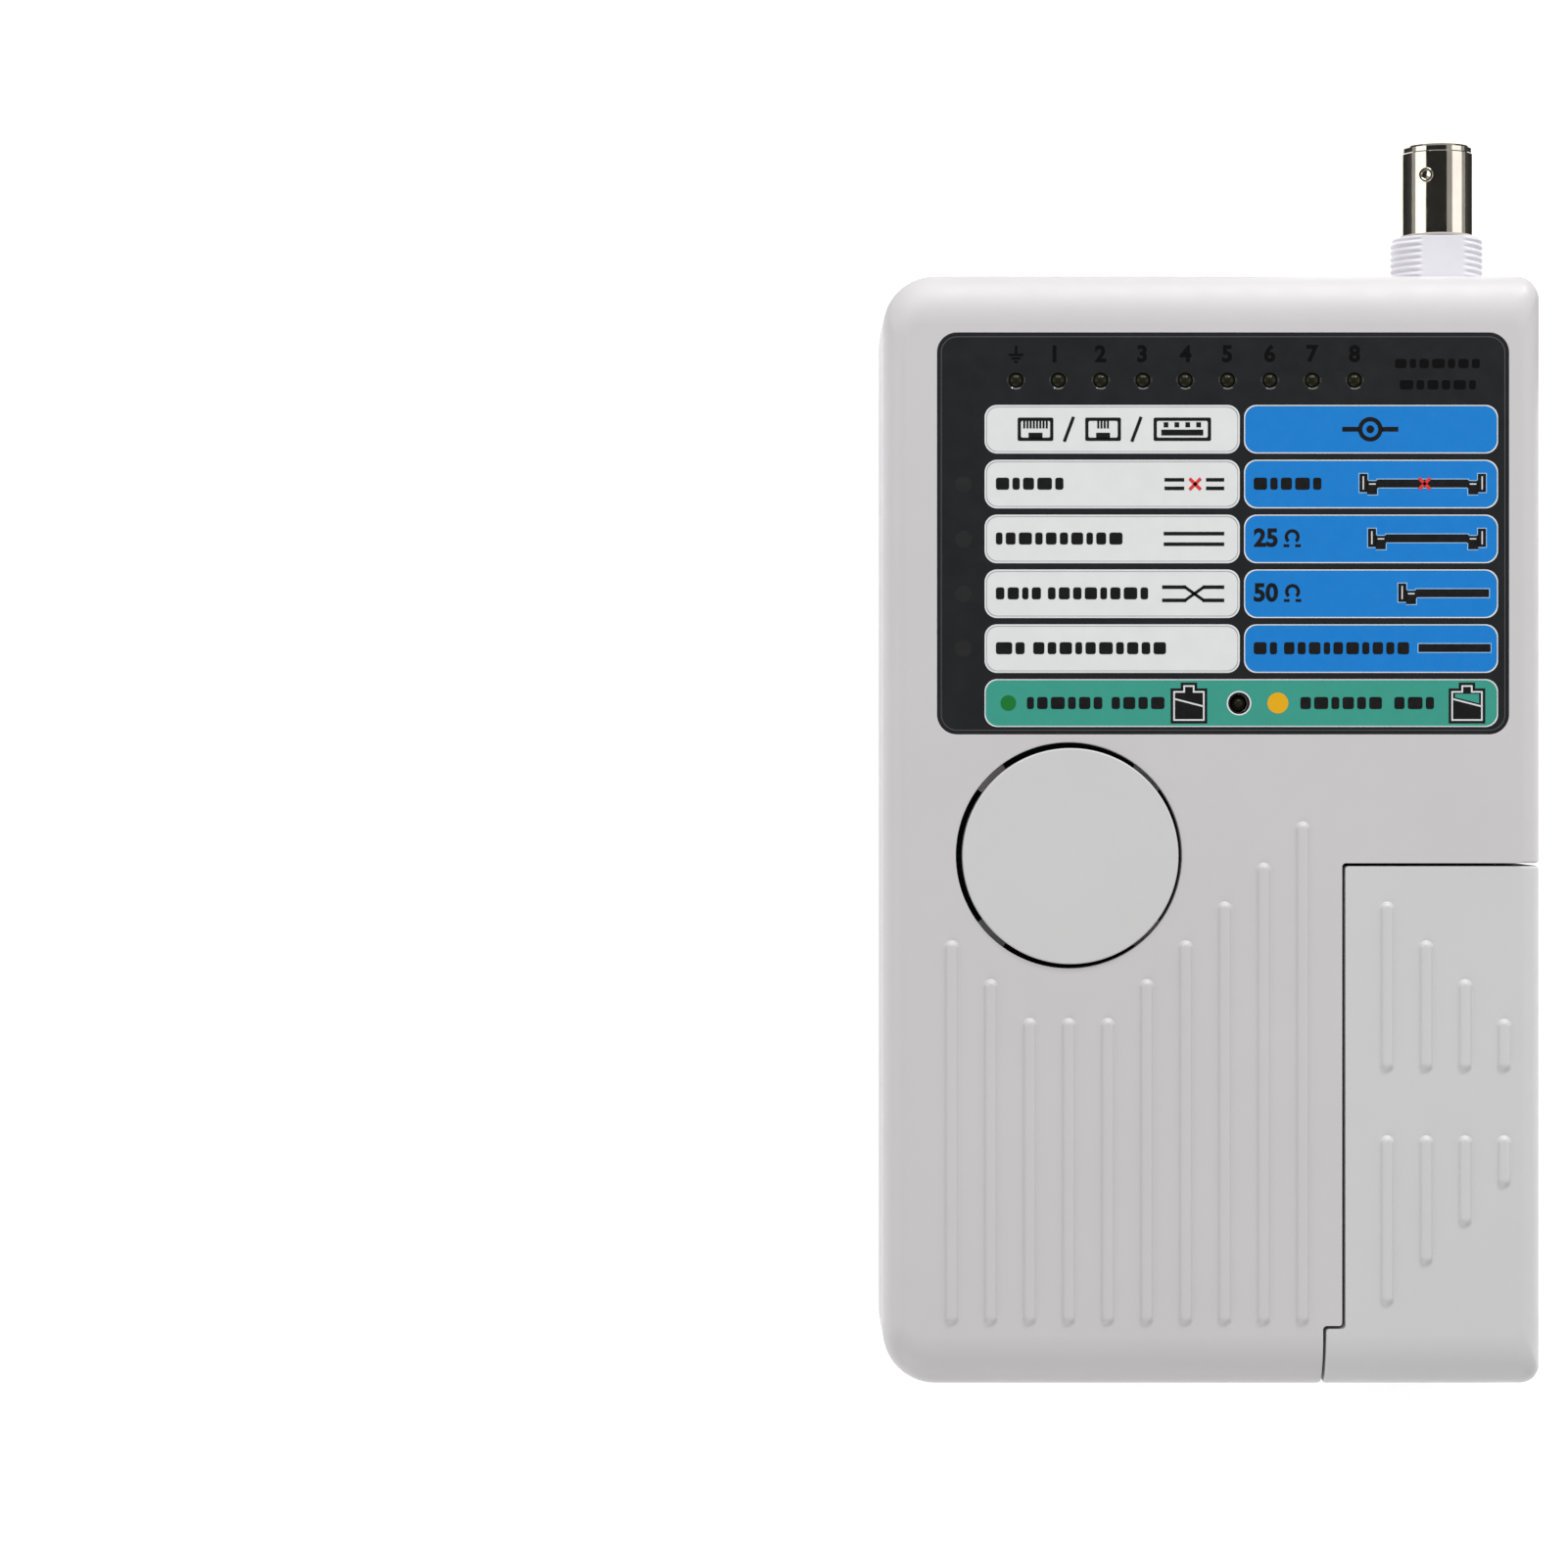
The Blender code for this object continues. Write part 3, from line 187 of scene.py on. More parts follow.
# Half length, half width and level of the cross's arms
SCREW_SLOT = ((1.45, 0.3, -0.6), (1.35, 0.26, 0.0), (0.5, 0.16, 1.1))
SCREW_TURN = (23, 31)  # degrees: the first screw's cross, and what each next one adds
WELL_BREAK = 0.2
BOSS_RADIUS = 3.2
FRONT_BOSS_Z = (PART_Z + SEAM, CEILING + SINK)
REAR_BOSS_Z = (WALL - SINK, PART_Z - SEAM)
DOOR_HALF_WIDTH = 14.2  # of the outer plate, without its flanges
TOP_SOCKETS = ("rj45_housing", "rj11_housing", "usb_a_shell")
WINDOW_DEPTH = 2.6
WINDOW_BREAK = 0.25
BASE_PLAY = 0.15


# Shapes: each is a pair of points and faces

def loft(rings, joined=False):
    """A skin over rings of equal length, capped at both ends or joined round."""
    count = len(rings[0])
    points = [point for ring in rings for point in ring]
    faces = []
    for row in range(len(rings) if joined else len(rings) - 1):
        low = row * count
        high = (row + 1) % len(rings) * count
        for i in range(count):
            j = (i + 1) % count
            faces.append((low + i, low + j, high + j, high + i))
    if not joined:
        faces.append(tuple(reversed(range(count))))
        faces.append(tuple(range(len(points) - count, len(points))))
    return points, faces


def at_level(points, level, axis="Z"):
    """Flat points placed across an axis. Across Y, they are given as X and Z."""
    if axis == "Y":
        return [(x, level, z) for x, z in points]
    return [(x, y, level) for x, y in points]


def band(ring_of, inner, outer, low, high):
    """A closed band between two sizes of the ring that ring_of makes."""
    sizes = ((outer, low), (outer, high), (inner, high), (inner, low))
    return loft([at_level(ring_of(size), level) for size, level in sizes], joined=True)


def prism(points, low, high, axis="Z"):
    return loft([at_level(points, level, axis) for level in (low, high)])


def four_corners(x, y):
    return (x[0], y[0]), (x[1], y[0]), (x[1], y[1]), (x[0], y[1])


def grown(low, high, margin):
    return low - margin, high + margin


def about(middle, half):
    return middle - half, middle + half


def block(x, y, z):
    return prism(four_corners(x, y), *z)


def on_circle(centre, radius, turns):
    return [(centre[0] + radius * cos(t), centre[1] + radius * sin(t)) for t in turns]


def full_turn(segments):
    return [tau * i / segments for i in range(segments)]


def quarter(steps):
    return [pi / 2 * step / steps for step in range(steps + 1)]


def soft_edge(radius, level, across, along, steps):
    """The rounded end of a turned profile, which goes in by across and on by along."""
    return [(radius - across * (1 - cos(t)), level + along * (1 - sin(t))) for t in quarter(steps)]


def circle(centre, radius, segments=48):
    return on_circle(centre, radius, full_turn(segments))


def sector(centre, inner, outer, turns):
    return on_circle(centre, outer, turns) + on_circle(centre, inner, reversed(turns))


def turned(profile, centre, axis="Z", segments=64, bored=False):
    """(radius, level) pairs turned about an axis. A bored profile closes on itself."""
    rings = [at_level(circle(centre, radius, segments), level, axis) for radius, level in profile]
    return loft(rings, joined=bored)


def rod(centre, radius, low, high, segments=48):
    return turned(((radius, low), (radius, high)), centre, segments=segments)


def outline(corners, side=0.0, end=0.0, joint=0.0):
    """Anticlockwise points of a right-angled outline, with its edges moved inwards.

    Each corner is (x, y, radius, whether the edge that leaves it faces the other unit).
    side moves the edges that face X, end those that face Y, and joint the facing ones.
    """
    points = []
    for i, (x, y, radius, facing_out) in enumerate(corners):
        before, after = corners[i - 1], corners[(i + 1) % len(corners)]
        heading_in = Vector((x - before[0], y - before[1])).normalized()
        heading_out = Vector((after[0] - x, after[1] - y)).normalized()
        corner = Vector((x, y))
        insets = []
        for heading, facing in ((heading_in, before[3]), (heading_out, facing_out)):
            inset = joint if facing else (side if abs(heading.y) > 0.5 else end)
            corner += Vector((-heading.y, heading.x)) * inset
            insets.append(inset)
        convex = heading_in.cross(heading_out) > 0
        change = -sum(insets) / 2 if convex else sum(insets) / 2
        rounding = max(radius + change, min(radius, INNER_CORNER))
        if not convex:
            rounding = min(rounding, CONCAVE_CORNER)
        middle = corner - heading_in * rounding + heading_out * rounding
        for turn in quarter(14 if radius > 1 else 3):
            spoke = heading_in * sin(turn) - heading_out * cos(turn)
            points.append(tuple(middle + spoke * rounding))
    return points


def evenly(corners):
    """A maker of the outline's rings, moved inwards by the same amount all round."""
    return lambda inset: outline(corners, inset, inset, inset)


def rectangle(x, y, radius):
    """Corners of a rounded rectangle, as outline takes them."""
    return tuple((*corner, radius, False) for corner in four_corners(x, y))


def label_ring(inset):
    x, y = [(LABEL_LOW[i], LABEL_HIGH[i]) for i in (0, 1)]
    return evenly(rectangle(x, y, LABEL_CORNER))(inset)


# Objects

def link(obj):
    bpy.context.scene.collection.objects.link(obj)
    return obj


def show(name, *shapes):
    """An object with one mesh made of the shapes."""
    bm = bmesh.new()
    for points, faces in shapes:
        verts = [bm.verts.new(Vector(p) * MM) for p in points]
        for face in faces:
            bm.faces.new([verts[i] for i in face])
    bmesh.ops.recalc_face_normals(bm, faces=bm.faces)
    mesh = bpy.data.meshes.new(name)
    bm.to_mesh(mesh)
    bm.free()
    return link(bpy.data.objects.new(name, mesh))


def evaluated_mesh(obj):
    graph = bpy.context.evaluated_depsgraph_get()
    return bpy.data.meshes.new_from_object(obj.evaluated_get(graph))


def welded(mesh):
    """Closes hairline cracks and drops slivers."""
    bm = bmesh.new()
    bm.from_mesh(mesh)
    bmesh.ops.remove_doubles(bm, verts=bm.verts, dist=WELD * MM)
    bmesh.ops.dissolve_degenerate(bm, edges=bm.edges, dist=WELD * MM)
    bm.to_mesh(mesh)
    bm.free()
    return mesh


def combine(target, operation, shapes):
    helper = show("helper", *shapes)
    modifier = target.modifiers.new("combine", "BOOLEAN")
    modifier.operation = operation
    modifier.solver = "EXACT"
    modifier.object = helper
    made = evaluated_mesh(target)
    target.modifiers.clear()
    target.data = welded(made)
    bpy.data.objects.remove(helper)


def add(target, *shapes):
    combine(target, "UNION", shapes)


def cut(target, *shapes):
    combine(target, "DIFFERENCE", shapes)


def weigh_normals(obj):
    """Shading that leaves large faces flat."""
    modifier = obj.modifiers.new("normals", "WEIGHTED_NORMAL")
    modifier.weight = 100
    return modifier


def finish(obj, surface, *replaced, body="main_unit", slot=None, angle=32):
    """Shading, material and body. The slot is worked out as the surface's own unless another is given,
    but nothing uses it.
    """
    slot = slot or surface.slot
    obj.data.shade_smooth()
    obj.data.set_sharp_from_angle(angle=radians(angle))
    weigh_normals(obj).keep_sharp = True
    obj.data.materials.clear()
    obj.data.materials.append(surface.material)
    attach(obj, body)
    if replaced:
        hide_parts(*replaced)


def dress(name, surface, bevel):
    """A CAD node that stays, with a better material and broken edges.

    Its triangles share no corners, so they are welded before the edges are broken.
    """
    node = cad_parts[name]
    node.data.materials.clear()
    node.data.materials.append(surface.material)
    node.data.shade_smooth()
    weld = node.modifiers.new("weld", "WELD")
    weld.merge_threshold = WELD * MM
    if bevel:
        edges = node.modifiers.new("edges", "BEVEL")
        edges.width = bevel * MM
        edges.segments = 2
        edges.limit_method = "ANGLE"
        edges.angle_limit = radians(40)
    weigh_normals(node)


# Materials

def linear(value):
    """One sRGB channel, 0 to 255, as linear light."""
    share = value / 255
    if share <= 0.04045:
        return share / 12.92
    return ((share + 0.055) / 1.055) ** 2.4


def colour(rgb, gain=1.0):
    return (*[min(linear(v) * gain, 1.0) for v in rgb], 1.0)


MIX_COLOURS, MIX_RESULT = (6, 7), 2  # where a Mix node keeps its colours


class Surface:
    """A Principled material that noise layers vary."""

    def __init__(self, name, rgb, roughness, metallic=0.0, gain=1.0):
        self.slot = name
        self.material = bpy.data.materials.new(name)
        self.material.use_nodes = True
        self.tree = self.material.node_tree
        self.shader = self.tree.nodes["Principled BSDF"]
        self.base = colour(rgb, gain)
        self.roughness = roughness
        self.fill(self.shader, Base_Color=self.base, Roughness=roughness, Metallic=metallic)
        self.place = self.node("TexCoord").outputs["Object"]

    def fill(self, node, **values):
        """Sets or links a node's inputs by name."""
        for name, value in values.items():
            target = node.inputs[name.replace("_", " ")]
            if isinstance(value, bpy.types.NodeSocket):
                self.link(value, target)
            else:
                target.default_value = value
        return node

    def node(self, kind, **values):
        return self.fill(self.tree.nodes.new(f"ShaderNode{kind}"), **values)

    def link(self, source, target):
        self.tree.links.new(source, target)

    def noise(self, size, detail=3.0, rough=0.5, stretch=None):
        """Noise whose features are about size millimetres across."""
        place = self.place
        if stretch:
            place = self.node("Mapping", Vector=place, Scale=stretch).outputs["Vector"]
        node = self.node("TexNoise", Vector=place, Scale=1 / (size * MM), Detail=detail, Roughness=rough)
        return node.outputs["Fac"]

    def spread(self, source, low, high, start=0.3, end=0.7):
        node = self.node("MapRange", Value=source, From_Min=start, From_Max=end, To_Min=low, To_Max=high)
        return node.outputs["Result"]

    def mix(self, factor, first, second):
        """The base colour, as a mix of two colours or sources."""
        node = self.node("Mix")
        node.data_type = "RGBA"
        self.link(factor, node.inputs[0])
        for index, shade in zip(MIX_COLOURS, (first, second)):
            if isinstance(shade, tuple):
                node.inputs[index].default_value = shade
            else:
                self.link(shade, node.inputs[index])
        self.link(node.outputs[MIX_RESULT], self.shader.inputs["Base Color"])
        return node.outputs[MIX_RESULT]

    def mottle(self, source, share):
        """Darkens and lightens the colour by a share of itself."""
        shades = [(*[min(c * gain, 1) for c in self.base[:3]], 1) for gain in (1 - share, 1 + share)]
        return self.mix(self.spread(source, 0, 1), *shades)

    def bump(self, *layers):
        """Bump from (source, height in millimetres) layers."""
        below = {}
        for source, height in layers:
            node = self.node("Bump", Height=source, Strength=1.0, Distance=height * MM, **below)
            below = {"Normal": node.outputs["Normal"]}
        self.fill(self.shader, **below)

    def vary(self, mottle, polish, *bumps):
        """Colour, roughness and bump layers, each given as an amount and then what noise takes."""
        self.mottle(self.noise(*mottle[1:]), mottle[0])
        low, high = self.roughness - polish[0], self.roughness + polish[0]
        self.fill(self.shader, Roughness=self.spread(self.noise(*polish[1:]), low, high))
        if bumps:
            self.bump(*[(self.noise(*layer), height) for height, *layer in bumps])
        return self

    def refract(self, index):
        self.fill(self.shader, IOR=index)
        return self


def moulded(name, rgb, roughness=0.42, gain=1.0, grain=0.006):
    """Satin plastic: spark-eroded grain, a faint flow mottle and uneven polish."""
    layers = (0.012, 22, 2), (0.05, 3.5, 4), (grain, 0.22, 2, 0.6), (0.02, 9, 1)
    return Surface(name, rgb, roughness, gain=gain).vary(*layers)


def gloss(name, rgb, roughness=0.25, gain=1.0, refraction=1.45):
    surface = Surface(name, rgb, roughness, gain=gain).refract(refraction)
    return surface.vary((0.02, 4), (0.05, 1.2), (0.004, 1.6))


def ink(name, rgb, roughness=0.38, gain=1.0, refraction=1.45):
    surface = Surface(name, rgb, roughness, gain=gain).refract(refraction)
    return surface.vary((0.02, 2.5, 4), (0.04, 0.8), (0.0015, 0.3))


def film(name, rgb):
    """Plastic film with a fine velvet surface and faint waviness."""
    layers = (0.08, 6, 5), (0.06, 2, 4), (0.002, 0.25), (0.03, 14, 1)
    return Surface(name, rgb, 0.34).refract(1.32).vary(*layers)


def turned_metal(name, rgb, roughness, ring_size=0.12):
    """Plated metal with turning marks round the Y axis."""
    surface = Surface(name, rgb, roughness, metallic=1.0)
    rings = (0.0012, 1.0, 3, 0.7, (0.02, 1 / ring_size, 0.02))
    return surface.vary((0.05, 3, 4), (0.04, 1.5, 4), rings)


def plated_sheet(name, rgb, roughness, mottle=0.06):
    """Plated sheet steel, with faint brushed lines along Y."""
    surface = Surface(name, rgb, roughness, metallic=1.0)
    return surface.vary((mottle, 6, 2), (0.03, 3, 2), (0.0004, 0.3, 1, 0.5, (1, 0.1, 1)))


def lamp_lens(name, rgb):
    return Surface(name, rgb, 0.12).refract(1.22).vary((0.1, 1.2), (0.03, 0.8))


def board_mask(name):
    """Green solder mask over patches of parallel tracks."""
    surface = Surface(name, (20, 78, 48), 0.35)
    tracks = surface.node(
        "TexBrick", Vector=surface.place, Scale=1 / (4 * MM), Mortar_Size=0.035, Mortar_Smooth=0.3,
        Brick_Width=5.5, Row_Height=0.22,
    )
    patches = surface.spread(surface.noise(9, detail=1), 0, 0.8, 0.5, 0.54)
    shown = surface.node("Math")
    shown.operation = "MULTIPLY"
    surface.link(tracks.outputs["Fac"], shown.inputs[0])
    surface.link(patches, shown.inputs[1])
    mottled = surface.mottle(surface.noise(5), 0.06)
    surface.mix(shown.outputs["Value"], mottled, colour((44, 112, 74)))
    surface.bump((shown.outputs["Value"], 0.02))
    return surface


def foam_sheet(name):
    surface = Surface(name, (70, 70, 72), 0.95)
    cells = surface.node("TexVoronoi", Vector=surface.place, Scale=1 / (0.7 * MM))
    surface.mottle(cells.outputs["Distance"], 0.2)
    surface.bump((cells.outputs["Distance"], 0.2))
    return surface


CASING_GAIN = 0.91
MAIN_ABS = moulded("casing_abs", (200, 197, 199), gain=CASING_GAIN)
REMOTE_ABS = moulded("remote_abs", (202, 202, 202), gain=CASING_GAIN)
# Painted highlight: the grey of the line along the label film's edge, standing in for the light that the
# edge catches
EDGE_HIGHLIGHT_INK = ink("painted_edge_highlight_ink", (78, 79, 82))
PALE_BLUE_INK = ink("pale_blue_ink", (150, 190, 226))
BUTTON_ABS = moulded("button_abs", (203, 202, 202), gain=CASING_GAIN)
LABEL_FILM = film("label_film", (33, 34, 36))
BEVEL_GLOSS = gloss("bevel_gloss", (36, 37, 38), 0.09, refraction=1.3)
WHITE_INK = ink("white_ink", (218, 219, 219), gain=0.93)
GREY_INK = ink("grey_ink", (150, 150, 152))
BLUE_INK = ink("blue_ink", (10, 117, 194))
GREEN_INK = ink("green_ink", (53, 145, 128))
BLACK_INK = ink("black_ink", (16, 16, 18))
FAINT_INK = ink("faint_ink", (4, 4, 5), 0.6, refraction=1.2)
WINDOW_INK = ink("window_ink", (36, 37, 36), refraction=1.36)
RED_INK = ink("red_ink", (205, 52, 48))
ORANGE_INK = ink("orange_ink", (214, 160, 10))
DARK_GREEN_INK = ink("dark_green_ink", (18, 110, 42))
LENS = lamp_lens("led_lens", (33, 32, 21))
WHITE_PLASTIC = gloss("white_plastic", (229, 228, 234), 0.36, gain=0.87)
SOCKET_BLACK = moulded("socket_plastic", (30, 30, 32), 0.5)
NICKEL = turned_metal("nickel", (214, 208, 196), 0.09)
TIN = plated_sheet("plated_steel", (196, 196, 200), 0.28, mottle=0.03)
GOLD = plated_sheet("contact_gold", (222, 178, 98), 0.25)
SCREW_STEEL = plated_sheet("screw_steel", (170, 170, 174), 0.3)
BOARD = board_mask("circuit_board")
CHIP = moulded("chip_black", (26, 26, 28), 0.55, grain=0.01)
JACKET = gloss("battery_jacket", (46, 60, 96), 0.3)
RED_WIRE = gloss("red_lead", (176, 28, 26), 0.4)
BLACK_WIRE = gloss("black_lead", (24, 24, 26), 0.4)
FOAM = foam_sheet("foam")


# Casing

MAIN_CORNERS = (
    (-SIDE_X, -END_Y, LEFT_CORNER, False),
    (FOOT_LEFT - SEAM, -END_Y, SHARP, True),
    (FOOT_LEFT - SEAM, FOOT_TOP + SEAM, SHARP, True),
    (REMOTE_LEFT - SEAM, FOOT_TOP + SEAM, SHARP, True),
    (REMOTE_LEFT - SEAM, REMOTE_TOP + SEAM, SHARP, True),
    (SIDE_X, REMOTE_TOP + SEAM, SHARP, False),
    (SIDE_X, END_Y, TOP_RIGHT_CORNER, False),
    (-SIDE_X, END_Y, LEFT_CORNER, False),
)
REMOTE_CORNERS = (
    (FOOT_LEFT, -END_Y, SHARP, False),
    (SIDE_X, -END_Y, LOW_RIGHT_CORNER, False),
    (SIDE_X, REMOTE_TOP, SHARP, True),
    (REMOTE_LEFT, REMOTE_TOP, SHARP, True),
    (REMOTE_LEFT, FOOT_TOP, SHARP, True),
    (FOOT_LEFT, FOOT_TOP, SHARP, True),
)
MAIN_RING = evenly(MAIN_CORNERS)


def half_body(corners, seam_z, face_z, fillets, drop, steps):
    """A solid half from the parting line to its face, with a rounding round the face."""
    side, end, joint = fillets
    sign = 1 if face_z > seam_z else -1
    rings = [
        at_level(outline(corners, SEAM_BREAK, SEAM_BREAK, 0), seam_z),
        at_level(outline(corners), seam_z + sign * SEAM_BREAK),
    ]
    for turn in quarter(steps):
        reach = 1 - abs(cos(turn)) ** (2 / FILLET_POWER)
        lift = 1 - sin(turn) ** (2 / FILLET_POWER)
        ring = outline(corners, side * reach, end * reach, joint * reach)
        rings.append(at_level(ring, face_z - sign * drop * lift))
    return loft(rings)


def front_half(corners):
    fillets = (SIDE_FILLET, END_FILLET, LINE_BREAK)
    return half_body(corners, PART_Z + SEAM / 2, FRONT_Z, fillets, FILLET_DROP, 14)


def back_half(corners):
    fillets = (BACK_FILLET, BACK_FILLET, LINE_BREAK)
    return half_body(corners, PART_Z - SEAM / 2, 0, fillets, BACK_FILLET, 6)


def rib(x, low, high):
    """A grip rib with round ends and a soft foot."""
    rings = []
    for half, lift in RIB_PROFILE:
        ring = []
        low_y = low + RIB_HALF_WIDTH + RIB_RUN_OUT * lift / RIB_HEIGHT
        for y, start in ((high - RIB_HALF_WIDTH, 0), (low_y, pi)):
            ring += on_circle((x, y), half, [start + pi * step / 10 for step in range(11)])
        rings.append(at_level(ring, FRONT_Z + lift))
    return loft(rings)


def main_ribs():
    return [rib(RIB_X + RIB_PITCH * i, RIB_BOTTOM, top) for i, top in enumerate(RIB_TOPS)]


def remote_ribs():
    upper = [(UPPER_RIB_BOTTOM, top) for top in UPPER_RIB_TOPS]
    lower = [(bottom, LOWER_RIB_TOP) for bottom in LOWER_RIB_BOTTOMS]
    return [rib(REMOTE_RIB_X + RIB_PITCH * (i % 4), *span) for i, span in enumerate(upper + lower)]


def rail(sign):
    """The main unit's half of the rail, above or below the parting plane."""
    start = PART_Z + sign * SEAM
    wall_x = REMOTE_LEFT - SEAM - WALL / 2
    neck, head = PART_Z + sign * RAIL_NECK, PART_Z + sign * RAIL_HEAD
    profile = (
        (wall_x, start), (RAIL_TIP_X, start), (RAIL_TIP_X, head),
        (RAIL_HEAD_X, head), (RAIL_HEAD_X, neck), (wall_x, neck),
    )
    return prism(profile, *RAIL_Y, axis="Y")


def groove():
    """The cutter for the groove in the remote that takes the rail."""
    neck, head, lip_x = RAIL_NECK + SEAM, RAIL_HEAD + SEAM, RAIL_HEAD_X - SEAM
    half = (REMOTE_LEFT - PAST, neck), (lip_x, neck), (lip_x, head), (RAIL_TIP_X + SEAM, head)
    profile = [(x, PART_Z - h) for x, h in half] + [(x, PART_Z + h) for x, h in reversed(half)]
    return prism(profile, RAIL_Y[0] - 2 * SEAM, REMOTE_TOP + PAST, axis="Y")


def window(node, outside_y):
    """A cutter that clears a socket through the end wall, with its edge broken outside."""
    low, high = node_box(node)
    way = 1 if outside_y > 0 else -1
    edge = WINDOW_BREAK
    rings = []
    for added, reach in ((0, -WINDOW_DEPTH), (0, -edge), (edge, 0.01), (edge, PAST)):
        x, z = grown(low.x, high.x, SEAM + added), grown(low.z, high.z, SEAM + added)
        rings.append(at_level(four_corners(x, z), outside_y + way * reach, "Y"))
    return loft(rings)


def top_windows():
    radius = BASE_RADIUS + BASE_PLAY
    hole = turned(((radius, END_Y - WINDOW_DEPTH), (radius, END_Y + PAST)), BNC_AXIS, "Y")
    return [*[window(node, END_Y) for node in TOP_SOCKETS], hole]


def button_hole():
    lip = BUTTON_HOLE_LIP
    edge = soft_edge(BUTTON_HOLE, FRONT_Z, -lip, -lip, 4)
    profile = [(BUTTON_HOLE, CEILING - PAST), *edge, (BUTTON_HOLE + lip, FRONT_Z + PAST)]
    return turned(profile, BUTTON, segments=128)


def label_recess():
    levels = ((0, -RECESS_DEPTH), (0, -RECESS_LIP), (2 * RECESS_LIP, RECESS_LIP))
    return loft([at_level(label_ring(-RECESS_MARGIN - added), FRONT_Z + z) for added, z in levels])


def screw_wells(names):
    head, shank, floor = HEAD_RADIUS + SEAM, SCREW_RADIUS + SEAM, SCREW_NECK + SEAM
    profile = (
        (head + WELL_BREAK, -PAST), (head + WELL_BREAK, 0), (head, WELL_BREAK),
        (head, floor), (shank, floor), (shank, PART_Z + PAST),
    )
    return [turned(profile, node_xy(name), segments=40) for name in names]


def bosses(names, z):
    return [rod(node_xy(name), BOSS_RADIUS, *z, segments=32) for name in names]


def lamp_holes():
    holes = [*[(name, LAMP_HOLE) for name in PIN_LAMPS + ROW_LAMPS], (BATTERY_LAMP, BATTERY_LAMP_HOLE)]
    return [rod(node_xy(name), radius, CEILING - PAST, FRONT_Z, segments=32) for name, radius in holes]


def make_main_front():
    shell = show("main_front_casing", front_half(MAIN_CORNERS))
    cut(shell, prism(MAIN_RING(WALL), PART_Z - PAST, CEILING))
    add(shell, *main_ribs(), *bosses(MAIN_SCREWS, FRONT_BOSS_Z), rail(1))
    outside, above = REBATE_PLAY
    top = PART_Z + LIP_HEIGHT + above
    cut(shell, band(MAIN_RING, WALL + SINK, LIP[0] - outside, PART_Z - PAST, top))
    cut(shell, label_recess())
    cut(shell, *lamp_holes(), button_hole(), *top_windows())
    finish(shell, MAIN_ABS, "main_front_shell")


def doorway():
    """The cutter for the battery door's T-shaped way."""
    low, high = node_box("battery_door")
    middle = (low.x + high.x) / 2
    plate, flange = DOOR_HALF_WIDTH + SEAM, (high.x - low.x) / 2 + SEAM
    ledge, top = WALL + 0.05, high.z + SEAM
    profile = (
        (-plate, -PAST), (plate, -PAST), (plate, ledge), (flange, ledge),
        (flange, top), (-flange, top), (-flange, ledge), (-plate, ledge),
    )
    return prism([(middle + x, z) for x, z in profile], -END_Y - PAST, high.y + SEAM, axis="Y")


def make_main_rear():
    shell = show("main_rear_casing", back_half(MAIN_CORNERS))
    cut(shell, prism(MAIN_RING(WALL), WALL, PART_Z + PAST))
    add(shell, band(MAIN_RING, LIP[1] + 0.2, LIP[0], PART_Z - LIP_ROOT, PART_Z + LIP_HEIGHT))
    add(shell, *bosses(MAIN_SCREWS, REAR_BOSS_Z), rail(-1))
    cut(shell, *screw_wells(MAIN_SCREWS), *top_windows(), doorway())
    finish(shell, MAIN_ABS, "main_rear_shell")


def remote_cavity(low, high):
    x = (REMOTE_CAVITY_LEFT, SIDE_X - WALL)
    return block(x, (-END_Y + WALL, REMOTE_TOP - WALL), (low, high))


def remote_windows():
    low, high = node_box("remote_rj45_housing")
    y = (REMOTE_TOP - WINDOW_DEPTH, REMOTE_TOP + PAST)
    top = block(grown(low.x, high.x, SEAM), y, grown(low.z, high.z, SEAM))
    return [top, window("remote_usb_b_shell", -END_Y)]


def make_remote_front():
    shell = show("remote_front_casing", front_half(REMOTE_CORNERS))
    cut(shell, remote_cavity(PART_Z - PAST, CEILING))
    add(shell, *remote_ribs(), *bosses(REMOTE_SCREWS, FRONT_BOSS_Z))
    cut(shell, groove(), *remote_windows())
    finish(shell, REMOTE_ABS, "remote_front_shell", body="remote")


def make_remote_rear():
    shell = show("remote_rear_casing", back_half(REMOTE_CORNERS))
    cut(shell, remote_cavity(WALL, PART_Z + PAST))
    add(shell, *bosses(REMOTE_SCREWS, REAR_BOSS_Z))
    cut(shell, groove(), *remote_windows(), *screw_wells(REMOTE_SCREWS))
    finish(shell, REMOTE_ABS, "remote_rear_shell", body="remote")


# Button and lamps

def hook(centre, angle, radii, z):
    """A snap hook under the button's edge, as a short arc."""
    turns = [radians(angle + HOOK_SPREAD * share) for share in (-1, -0.5, 0, 0.5, 1)]
    return prism(sector(centre, *radii, turns), *z)


def make_button():
    low, high = node_box("test_button")
    centre = (BUTTON.x + BUTTON_SHIFT[0], BUTTON.y + BUTTON_SHIFT[1])
    edge = soft_edge(BUTTON_RADIUS, high.z, BUTTON_EDGE, -BUTTON_EDGE, 6)
    crown = [(BUTTON_RADIUS * share, high.z) for share in BUTTON_CROWN]
    cap = show("button_cap", turned([(BUTTON_RADIUS, low.z), *edge, *crown], centre, segments=144))
    radii = (BUTTON_RADIUS - HOOK_SINK, (high.x - low.x) / 2 - 0.2)
    angles = [45 + 360 / BUTTON_HOOKS * i for i in range(BUTTON_HOOKS)]
    add(cap, *[hook(centre, angle, radii, (low.z, low.z + HOOK_HEIGHT)) for angle in angles])
    finish(cap, BUTTON_ABS, "test_button", body="button")


